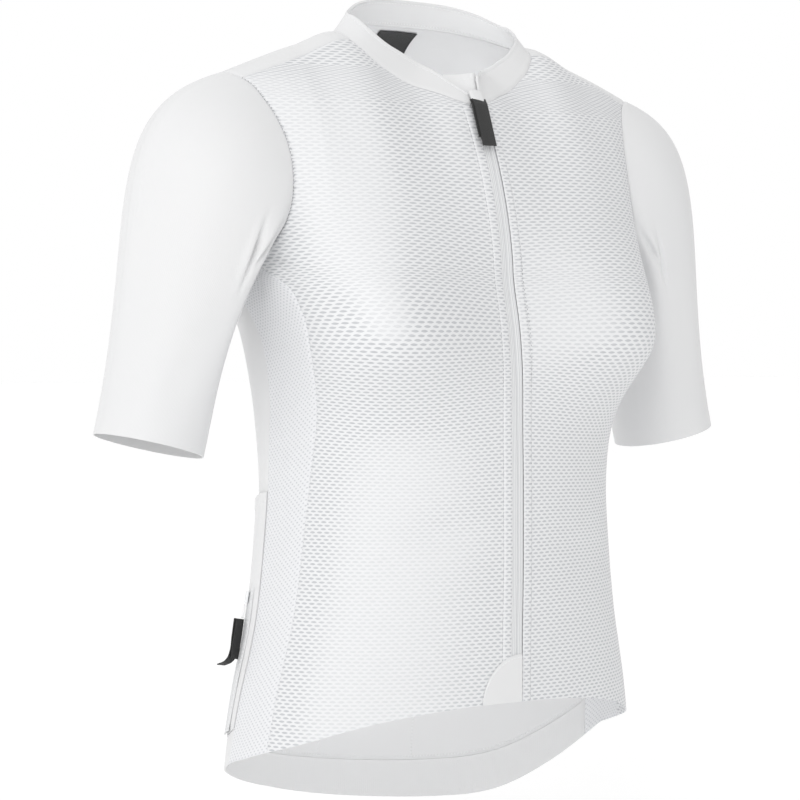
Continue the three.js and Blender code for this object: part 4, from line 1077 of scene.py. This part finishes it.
# Pockets: one panel with a folded mouth and two divisions
POCKET_DIVISION = 0.36
MOUTH_FOLD = 9
BACK_HALF = 150              # from the middle to a side seam, about
rows = np.concatenate([[BAND_ROW, 0.0725, 0.076], np.linspace(0.08, POCKET_ROW - 0.028, 68),
                       POCKET_ROW - np.array([24, 20, 18.5, 17.5, 16, 12, 8, 4, 2, 0.8, 0])
                       / 1000])[:, None]
POCKET_T = np.unique(np.concatenate([BACK_T] + [
    s * POCKET_DIVISION + np.array([-0.022, -0.012, -0.006, 0, 0.006, 0.012, 0.022])
    for s in (-1, 1)]))
POCKET = draped(back_low(POCKET_T, rows))
wide, up = run_length(POCKET, 1), run_length(POCKET, 0)
edges = np.minimum(np.minimum(wide, wide[:, -1:] - wide), up)
to_mouth = up[-1:] - up
division = np.abs(np.abs(POCKET_T) - POCKET_DIVISION) * BACK_HALF
relief = (0.5 * (1 - ease(share(to_mouth, MOUTH_FOLD - 0.8, MOUTH_FOLD + 0.8)))
          - 0.4 * np.exp(-((to_mouth - MOUTH_FOLD + 1) / 0.8) ** 2)
          - 0.45 * np.exp(-(division / 1.4) ** 2)
          + 0.9 * ease(share(division, 3, 24)) * share(up, 20, 150))
lift = 0.3 + 0.7 * ease(share(edges, 0, 2)) + (LAYER - 1) * ease(share(edges, 2, 9))
POCKET = POCKET + normals_of(POCKET) * (lift + relief * share(edges, 1, 6))[..., None]
piece, POCKET_P, POCKET_N = cloth("pocket_front", POCKET, SMOOTH, "smooth_jersey",
                                  ["pocket_panel"],
                                  uv=np.stack([wide - wide[:, -1:] / 2, up], -1))
runs = []
for s in (-1, 1):
    c = int(np.argmin(np.abs(POCKET_T - s * POCKET_DIVISION)))
    for beside in (-2, 2):
        runs.append(stitches((POCKET_P + POCKET_N * CLOTH / 2)[:, c + beside],
                             POCKET_N[:, c + beside], 2.4, 0.9))
mouth = int(np.argmin(np.abs(to_mouth[:, 60] - MOUTH_FOLD + 1)))
runs.append(stitches((POCKET_P + POCKET_N * CLOTH / 2)[mouth], POCKET_N[mouth], 2.4, 0.9))
threads("pocket_stitching", runs)
c = int(np.argmin(np.abs(BACK_T - POCKET_DIVISION)))
d = int(np.argmin(np.abs(BACK_T + POCKET_DIVISION)))
top = int(np.argmin(np.abs(low[:, 0] - POCKET_ROW)))
within = BACK_P - BACK_N * (CLOTH / 2)
threads("division_overlock", [
    run for i in (c, d) for run in overlock(within[2:top, i], -BACK_N[2:top, i])])


# Sleeves

SLEEVE_AROUND = 240


def armhole_loop(m):
    """Edge of the armhole from the shoulder over the front, the armpit and the back, with its
    normals, before the folds. Returns them at even angles by length, and the angles."""
    down = np.linspace(1, 0, 150)
    side = np.linspace(seam_angle(SIDE_FRONT, np.ones(1))[0],
                       seam_angle(SIDE_BACK, np.ones(1))[0], 26)[1:-1]
    up = np.linspace(0, 1, 150)[:-1]
    x_front = m * along(down, ARMHOLE["share"], ARMHOLE["front"])
    x_back = m * along(up, ARMHOLE["share"], ARMHOLE["back"])
    loop = np.concatenate([arch(x_front, front_climb(down)), ring(m * side, CHEST),
                           arch(x_back, back_climb(up))])
    normals = np.concatenate([
        normal_at(arch, x_front, np.minimum(front_climb(down), math.pi - 0.05), 1, 0.04),
        normal_at(ring, m * side, np.full(len(side), CHEST - 3.0), 0.02, 2),
        normal_at(arch, x_back, np.maximum(back_climb(up), 0.05), 1, 0.04)])
    closed = np.concatenate([loop, loop[:1]])
    length = run_length(closed)
    armpit = length[len(down) + len(side) // 2]
    deg = np.where(length <= armpit, 180 * length / armpit,
                   180 + 180 * (length - armpit) / (length[-1] - armpit))
    even = np.arange(SLEEVE_AROUND) * 360 / SLEEVE_AROUND
    normals = np.concatenate([normals, normals[:1]])
    pick = [np.stack([np.interp(even, deg, v[:, k]) for k in range(3)], 1)
            for v in (closed, normals)]
    return pick[0], unit(pick[1]), even


def cuff_ring(deg, m):
    turn, tilt = np.radians(deg), math.radians(CUFF["tilt"])
    across = CUFF["radius"] * np.cos(turn)
    return stack(m * (CUFF["x"] + across * math.cos(tilt)),
                 CUFF["y"] - CUFF["radius"] * np.sin(turn),
                 CUFF["z"] + across * math.sin(tilt))


def sleeve_grid(m):
    """Cubic curves from the armhole to the tilted circle of the cuff, one for each angle."""
    loop, normals, deg = armhole_loop(m)
    ahead = np.roll(loop, -1, 0) - np.roll(loop, 1, 0)
    off = unit(np.cross(ahead, normals)) * -m
    get = {name: along(deg, SLEEVE["deg"], SLEEVE[name])[:, None] for name in SLEEVE}
    start = loop + off * 0.15
    out = unit(np.concatenate([m * get["out_x"], get["out_y"], get["out_z"]], 1))
    end = cuff_ring(deg, m)
    tilt = math.radians(CUFF["tilt"])
    down = np.array([m * math.sin(tilt), 0, -math.cos(tilt)])
    a, b = start + out * get["leave"], end - down * get["arrive"]
    t = np.concatenate([[0, 0.0018, 0.004, 0.0075, 0.012, 0.018], np.linspace(0.026, 1, 104)])
    t = t[:, None, None]
    return draped((1 - t)**3 * start + 3 * t * (1 - t)**2 * a + 3 * t**2 * (1 - t) * b
                  + t**3 * end)


for side, m in SIDES.items():
    points = sleeve_grid(m)
    up = run_length(points, 0)
    around = np.broadcast_to(np.arange(SLEEVE_AROUND) * 1.2, up.shape)
    outside = points - points.mean(1, keepdims=True)
    closed_uv = np.stack([around, up], -1)
    piece, p, n = cloth("sleeve_cloth_" + side, points, SMOOTH, "smooth_jersey",
                        ["sleeve_" + side], edges=up, wrap=True, uv=closed_uv,
                        outside=outside)


# Collar

def neck_loop():
    """Neck seam from its right front end over the back to its left front end, its normals and
    the direction in the cloth toward the neck."""
    t = np.concatenate([NECK_START + (1 - NECK_START) * spaced(44, 120)])
    back_t = np.linspace(1, 0, 48)[1:]
    x, rise = neck_point(t, "front")
    xb, rise_b = neck_point(back_t, "back")
    right = [(-x, front_climb(rise)), (-xb, back_climb(rise_b))]
    left = [(xb[-2::-1], back_climb(rise_b)[-2::-1]), (x[::-1], front_climb(rise)[::-1])]
    p = np.concatenate([arch(a, c) for a, c in right + left])
    n = np.concatenate([normal_at(arch, a, c, 1, 0.04) for a, c in right + left])
    off = unit(np.cross(n, np.gradient(p, axis=0)))
    inward = stack(-p[:, 0], -p[:, 1], 20)
    return p, n, off * np.sign((off * inward).sum(-1, keepdims=True))


def collar_grid():
    """Rows of the collar: each point goes off the seam and rises by its height, leaning in."""
    p, n, off = neck_loop()
    base = p + off * 0.15
    length = run_length(p)
    turn = 2 * length / length[-1] - 1
    tall = along(turn, COLLAR["turn"], COLLAR["tall"])[:, None]
    lean = np.radians(along(turn, COLLAR["turn"], COLLAR["lean"]))[:, None]
    inward = unit(stack(-p[:, 0], -p[:, 1], 0))
    rise = np.array([0, 0, 1]) * np.cos(lean) + inward * np.sin(lean)
    part = np.concatenate([[0, 0.03, 0.07, 0.12], np.linspace(0.18, 0.82, 12),
                           [0.86, 0.89, 0.92, 0.96, 0.985, 1]])
    part = part[:, None, None]
    return base + off * COLLAR_OUT * np.minimum(1, part * 4) + rise * tall * part, n


def collar_relief(points):
    """The stitch line under the top edge pulls a groove; the edge above it is a little full,
    and the seam at the foot turns in."""
    up = run_length(points, 0)
    to_top = up[-1:] - up
    return (0.35 * np.exp(-((to_top - 1.2) / 1.2) ** 2)
            - 0.3 * np.exp(-((to_top - 3) / 0.7) ** 2) - 0.8 * np.exp(-(up / 1.2) ** 2))


COLLAR_GRID, COLLAR_FOOT = collar_grid()
outside = stack(COLLAR_GRID[..., 0], COLLAR_GRID[..., 1], 30)
n = normals_of(COLLAR_GRID, outside=outside)
points = COLLAR_GRID + n * collar_relief(COLLAR_GRID)[..., None]
up = run_length(COLLAR_GRID, 0)
uv = np.stack([run_length(COLLAR_GRID, 1), up], -1)
piece, p, n = cloth("neck_collar", points, SMOOTH, "smooth_jersey", ["collar"], uv=uv,
                    outside=outside, thick=COLLAR_CLOTH)
row = int(np.argmin(np.abs((up[-1] - up)[:, 60] - 3)))
threads("collar_stitching", [
    stitches(p[row] + n[row] * COLLAR_CLOTH / 2, n[row], 2.3, 0.9),
    stitches(p[row] - n[row] * COLLAR_CLOTH / 2, -n[row], 2.3, 0.9),
    *overlock(p[2] - n[2] * COLLAR_CLOTH / 2, -n[2], 2.4, 0.3, 1.0)])


# Front zip: tape, guard, garage, slider and pull

def zip_line(z):
    """Middle of the front at a level, with its normal and the direction down the zip. Above
    the neck seam it runs on straight."""
    z = np.asarray(z, float)
    on = np.minimum(z, NECK_Z - 0.5)
    p = front_at(0.0, on)
    down = unit(front_at(0.0, on - 1) - front_at(0.0, on + 0.5))
    past = np.maximum(z - on, 0) / -down[..., 2]
    n = stack(0, down[..., 2], -down[..., 1])
    return p - down * past[..., None], n, down


def zip_height(x):
    """Height of the tape over the cloth's middle by distance from the middle of the zip: two
    rounded halves that meet in a groove, falling to the part sewn behind the fold."""
    far = np.abs(x)
    return (0.15 - 0.75 * np.exp(-(far / 0.55) ** 2) - 0.12 * np.exp(-((far - 3.2) / 0.4) ** 2)
            - 1.5 * ease(share(far, 4.4, 5.6)))


levels = np.concatenate([[0, 0.002, 0.005], np.linspace(0.01, 0.99, 150), [0.995, 0.998, 1]])
ZIP_Z = mix(hem_at(np.zeros(1))[0], NECK_Z - 0.6, levels)[:, None]
half = np.array([0, 0.25, 0.5, 0.8, 1.2, 1.8, 2.4, 2.9, 3.2, 3.5, 4, 4.4, 4.8, 5.2, 5.8, 8, 12.5])
ZIP_X = np.concatenate([-half[:0:-1], half])[None]
points = front_at(ZIP_X, ZIP_Z)
n = normals_of(points)
points = points + n * zip_height(ZIP_X)[..., None]
wide = np.broadcast_to(ZIP_X, points.shape[:2])
piece, _, ZIP_N = cloth("zip_tape_front", points, TAPE, "zip_tape", ["front_zip"],
                            uv=np.stack([wide, run_length(points, 0)], -1), thick=0.7)
middle = ZIP_X.shape[1] // 2
runs = []
for x in (-1.3, 1.3):
    line = front_at(x, ZIP_Z[:, 0]) - ZIP_N[:, middle] * 1.1
    runs.append(stitches(line, -ZIP_N[:, middle], 2.6, 0.25, 0.9, 0.8, skew=0))
threads("zip_coil", runs, slot="zip_tape")


def guard_grid():
    """Guard behind the zip: from four places low on the zip, over the neck seam, up between
    the collar's ends to one level."""
    places = np.array([GUARD["right"], -ZIP_EDGE, ZIP_EDGE, GUARD["left"] + 5], float)
    rows = []
    for s in GUARD["shares"]:
        climb = front_climb(np.full(4, s))
        rows.append(arch(places, climb) - normal_at(arch, places, climb, 1, 0.04)
                    * GUARD["depth"])
    base = COLLAR_GRID[0]
    end = len(base) - 1
    x = along(mix(NECK_START, YOKE_END, 0.18), NECK["t"], NECK["x_front"])
    beside = np.abs(base[:30, 0])
    pick = [int(np.argmin(np.abs(beside - x))), 0, end,
            end - int(np.argmin(np.abs(beside - mix(ZIP_EDGE, x, 0.75))))]
    rows.append(COLLAR_GRID[0, pick] - COLLAR_FOOT[pick] * GUARD["depth"])
    foot, head = COLLAR_GRID[4, pick], COLLAR_GRID[-1, pick]
    up = unit(head - foot)
    top = foot + up * ((GUARD["top"] - foot[:, 2:]) / up[:, 2:])
    inward = unit(stack(-foot[:, 0], -foot[:, 1], 0))
    lean = np.linalg.norm(up[:, :2], axis=1, keepdims=True)
    out = -inward * up[:, 2:] + np.array([0, 0, 1]) * lean
    rows.append(top - out * (GUARD["depth"] + GUARD["extra"]))
    return np.array(rows)


points = refined(guard_grid(), 66, 22)
outside = np.broadcast_to((0.0, -1.0, 0.2), points.shape)
piece, p, n = cloth("zip_guard_cloth", points, SMOOTH, "smooth_jersey", ["zip_guard"],
                    uv=flat_uv(points), outside=outside, thick=GUARD["cloth"])
threads("guard_stitching", [stitches(p[-3] + n[-3] * GUARD["cloth"] / 2, n[-3], 2.2, 0.8)])

# Garage over the slider's head
ACROSS = np.array([1.0, 0, 0])
rows = []
for z, height in zip(GARAGE["z"], GARAGE["height"]):
    p, n, down = zip_line(z)
    slant = GARAGE_SLANT * (GARAGE["z"][0] - z)
    rows.append([p + n * (height - 0.5 * abs(s)) + ACROSS * (s * GARAGE_HALF)
                 + down * (s * slant) for s in (-1, 0, 1)])
points = refined(np.array(rows), 18, 26)
outside = np.broadcast_to((0.0, -1.0, 0.0), points.shape)
wide, up = run_length(points, 1), run_length(points, 0)
edges = np.minimum(wide, wide[:, -1:] - wide)
piece, p, n = cloth("zip_garage_cap", points, SMOOTH, "smooth_jersey", ["zip_garage"],
                    uv=np.stack([wide, up], -1), outside=outside, edges=edges, thick=1.0)
threads("garage_stitching", [stitches(p[-4] + n[-4] * 0.5, n[-4], 1.8, 0.7)])


def rounded(wide, tall, radius, steps=6):
    """Outline of a rectangle with rounded corners, counter-clockwise."""
    turn = np.radians(np.linspace(0, 90, steps))[None] + np.radians([[0], [90], [180], [270]])
    centre = np.array([(1, 1), (-1, 1), (-1, -1), (1, -1)]) * (wide / 2 - radius,
                                                                 tall / 2 - radius)
    return np.stack([centre[:, :1] + radius * np.cos(turn),
                     centre[:, 1:] + radius * np.sin(turn)], -1).reshape(-1, 2)


def plate(outline, levels, place):
    """A solid plate in the frame of a place: the outline drawn in by each level's inset at
    its height, closed at both ends."""
    ahead = unit(np.roll(outline, -1, 0) - np.roll(outline, 1, 0))
    inward = np.stack([-ahead[:, 1], ahead[:, 0]], 1)
    rings = np.array([np.column_stack([outline + inward * inset, np.full(len(outline), z)])
                      for inset, z in levels])
    count = len(outline)
    faces = [grid_faces(len(levels), count, True).reshape(-1, 4),
             np.arange(count)[None, ::-1], np.arange(count)[None] + (len(levels) - 1) * count]
    return placed(rings.reshape(-1, 3), place), faces


def placed(points, place):
    """Points of a place's own frame (across, up, out) on the jersey."""
    p, across, up, out = place
    return p + points[..., :1] * across + points[..., 1:2] * up + points[..., 2:] * out


p, n, down = zip_line((SLIDER["top"] + SLIDER["bottom"]) / 2)
place = (p, ACROSS, -down, n)
tall = SLIDER["top"] - SLIDER["bottom"]
outline = rounded(2 * SLIDER["half"], tall, 1.4)
outline[:, 0] *= 1 - 0.15 * (outline[:, 1] / tall + 0.5)
low_, high_ = SLIDER["low"], SLIDER["high"]
body = plate(outline, [(0.4, low_), (0.1, low_ + 0.15), (0, low_ + 0.5), (0, high_ - 0.7),
                       (0.15, high_ - 0.3), (0.5, high_ - 0.08), (1, high_)], place)
arc = np.linspace(0, math.pi, 14)
bridge = placed(stack(0, 3.6 * np.cos(arc), high_ - 0.3 + 0.8 * np.sin(arc) ** 0.7), place)
mesh_piece("front_slider_body", *on_all(body, tube(bridge, 0.6, 8, n)), PAINT,
           "garment", "white_slider", ["front_slider"], sharp=40)


def tab_layer(length, base, place, half, steps=46):
    """A layer of a woven pull, with a shallow dish across: a strip that starts under the
    garage and hangs to one side of the zip, nearer to plumb. Returns points and cloth
    coordinates."""
    y = np.linspace(-4, length, steps)[:, None]
    x = np.concatenate([[-half, -half + 0.25], np.linspace(-half + 0.7, half - 0.7, 9),
                        [half - 0.25, half]])[None]
    rise = base + 0.12 * np.cos(x / half * math.pi) - 1.1 * (1 - share(y, -4, 1.5))
    points = placed(stack(x - TAB_HANG * y, -y, rise), place)
    return points, np.stack(np.broadcast_arrays(x, y), -1)


p, n, down = zip_line(TAB["top"])
place = (p + n * TAB["height"], ACROSS, -down, n)
for name, length, base in (("front_pull_face", TAB["long"], 0.45),
                           ("front_pull_back", TAB["behind"], -0.45)):
    layer_place = place if name == "front_pull_face" else (place[0] - ACROSS * 1.4, *place[1:])
    points, uv = tab_layer(length, base, layer_place, TAB["half"])
    outside = np.broadcast_to(n, points.shape)
    piece, _, _ = cloth(name, points, BLACK, "black_tape",
                         ["front_pull_tab"] if name == "front_pull_face" else (), uv=uv,
                         outside=outside, thick=TAB["thick"], body="front_pull")


# Foot patch and neck label

def patch_grid():
    """Quarter round over the foot of the zip, on the right front, one layer out."""
    part = 1 - (1 - np.linspace(0, 1, 44)) ** PATCH["crowd"]
    x = PATCH["edge"] - PATCH["wide"] * part
    tall = np.maximum(PATCH["tall"] * np.sqrt(np.maximum(1 - part**2, 0)), PATCH["least"])
    rise = np.concatenate([np.linspace(0, 0.9, 22), [0.94, 0.965, 0.985, 1]])[:, None]
    z = hem_at(np.sign(x) * angle_at(np.abs(x), hem_at(0))) + tall * rise
    points = draped(ring(np.sign(x) * angle_at(np.abs(x), z), z))
    return points + normals_of(points) * LAYER


points = patch_grid()
wide, up = run_length(points, 1), run_length(points, 0)
piece, p, n = cloth("zip_foot_patch", points, SMOOTH, "smooth_jersey", ["foot_patch"],
                    edges=(up[-1:] - up) * 1.5, uv=np.stack([wide, up], -1))
threads("patch_stitching", [stitches(p[-4] + n[-4] * 0.45, n[-4], 2.2, 0.8)])

t = np.linspace(-0.18, 0.18, 26) * NECK_SHARE
points = draped(back_high(t[None], np.linspace(0.8, 0.985, 34)[:, None]))
n = normals_of(points)
points = points - n * LAYER
piece, p, n = cloth("neck_label_tape", points, BLACK, "black_tape", ["neck_label"],
                    uv=flat_uv(points), thick=0.6)
line = np.concatenate([p[-2:-32:-1, 1], p[1, 1:-1], p[1:, -2]])
normal = np.concatenate([n[-2:-32:-1, 1], n[1, 1:-1], n[1:, -2]])
threads("label_stitching", [stitches(line - normal * 0.3, -normal, 2.0, 0.8)],
        material=BLACK, slot="black_tape")


# Side pocket: zip, slider, cord loop and pull

LOW_ROWS = (0, 0.07, 0.17, 0.26, 0.355, 0.45)


def solid_shares():
    """Shares of the back's outer columns in the solids, from the seam inward."""
    phi = mix(angle_at(14, CHEST), angle_at(ARM_X, CHEST), np.arange(8) / 7)
    half, _, _, round_ = body_at(CHEST)
    x = half * np.sin(phi) ** (2 / round_)
    return -mix(NECK_SHARE, 1, (x - ZIP_EDGE) / (ARM_X - ZIP_EDGE))[::-1]


def coarse_back(rows):
    shares = solid_shares()[:3]
    points = draped(back_low(shares[None], np.array(rows)[:, None]))
    n = []
    for row in rows:
        near = draped(back_low(np.linspace(shares[0], shares[2], 9)[None],
                               row + np.array([-0.004, 0, 0.004])[:, None]))
        n.append(normals_of(near)[1, [0, 4, 8]])
    return points, np.array(n)


points, n = coarse_back(LOW_ROWS[1:5])
points = points + n * (2 * LAYER)
strip = np.stack([mix(points[:, 0], points[:, 1], 0.4), points[:, 1],
                  mix(points[:, 1], points[:, 2], 0.5)], 1)
top, under = strip[-1, 1], strip[-2, 1]
UP = unit(top - under)
SIDE_ACROSS = unit(np.cross(UP, n[-1, 1]))
OUT = np.cross(SIDE_ACROSS, UP)
SIDE_PLACE = (top - UP * SIDE_SLIDER["drop"], SIDE_ACROSS, UP, OUT)
points = refined(strip, 60, 20)
wide, up = run_length(points, 1), run_length(points, 0)
middle = wide[:, -1:] / 2
n = normals_of(points)
points = points - n * (0.5 * np.exp(-((wide - middle) / 0.5) ** 2))[..., None]
piece, p, n = cloth("side_zip_tape", points, TAPE, "zip_tape", ["side_zip"],
                    uv=np.stack([wide - middle, up], -1), thick=0.8)
threads("side_zip_stitching", [stitches(p[:, i] + n[:, i] * 0.4, n[:, i], 2.2, 0.9)
                               for i in (2, -3)])

wide, tall, thick = (SIDE_SLIDER[k] for k in ("wide", "tall", "thick"))
base = 0.9
outline = rounded(wide, tall, 1.2) - (0, tall / 2)
body = plate(outline, [(0.3, base), (0, base + 0.3), (0, base + thick - 0.6),
                       (0.3, base + thick - 0.15), (0.7, base + thick)], SIDE_PLACE)
mesh_piece("side_slider_body", *body, PAINT, "garment", "white_slider", ["side_slider"],
           sharp=40)
turn = np.linspace(0, 2 * math.pi, 49)[:-1]
path = placed(stack(LOOP["across"] * np.cos(turn),
                    LOOP["tall"] * np.sin(turn) - tall - 0.3 - LOOP["tall"] - LOOP["cord"],
                    LOOP["height"]), SIDE_PLACE)
strand = LOOP["cord"] * (0.93 + 0.07 * np.cos(turn * 22))
mesh_piece("side_loop_cord", *tube(path, strand, 10, OUT, closed=True), CORD,
           "side_pull", "white_cord", ["side_cord_loop"])
start = tall + 0.6 + 2 * (LOOP["tall"] + LOOP["cord"])
for name, edge, slot_nodes in (("side_pull_inner", SIDE_TAB_INNER, ["side_pull_tab"]),
                               ("side_pull_outer", SIDE_TAB_OUTER, ())):
    s = np.linspace(edge["down"][0], edge["down"][-1], 40)
    x = np.linspace(-SIDE_TAB_WIDE / 2, SIDE_TAB_WIDE / 2, 13)[None]
    y = -(start + s)[:, None]
    high = along(s, edge["down"], edge["high"])[:, None] + LOOP["height"]
    turn = math.radians(SIDE_TAB_TURN)
    points = placed(stack(x * math.cos(turn), y, high + 2.3 + x * math.sin(turn)), SIDE_PLACE)
    facing = OUT * math.cos(turn) - SIDE_ACROSS * math.sin(turn)
    uv = np.stack(np.broadcast_arrays(x, y), -1)
    cloth(name, points + facing * (0.5 if name == "side_pull_outer" else -0.4), BLACK,
          "black_tape", slot_nodes, uv=uv, outside=np.broadcast_to(facing, points.shape),
          thick=0.75, body="side_pull")
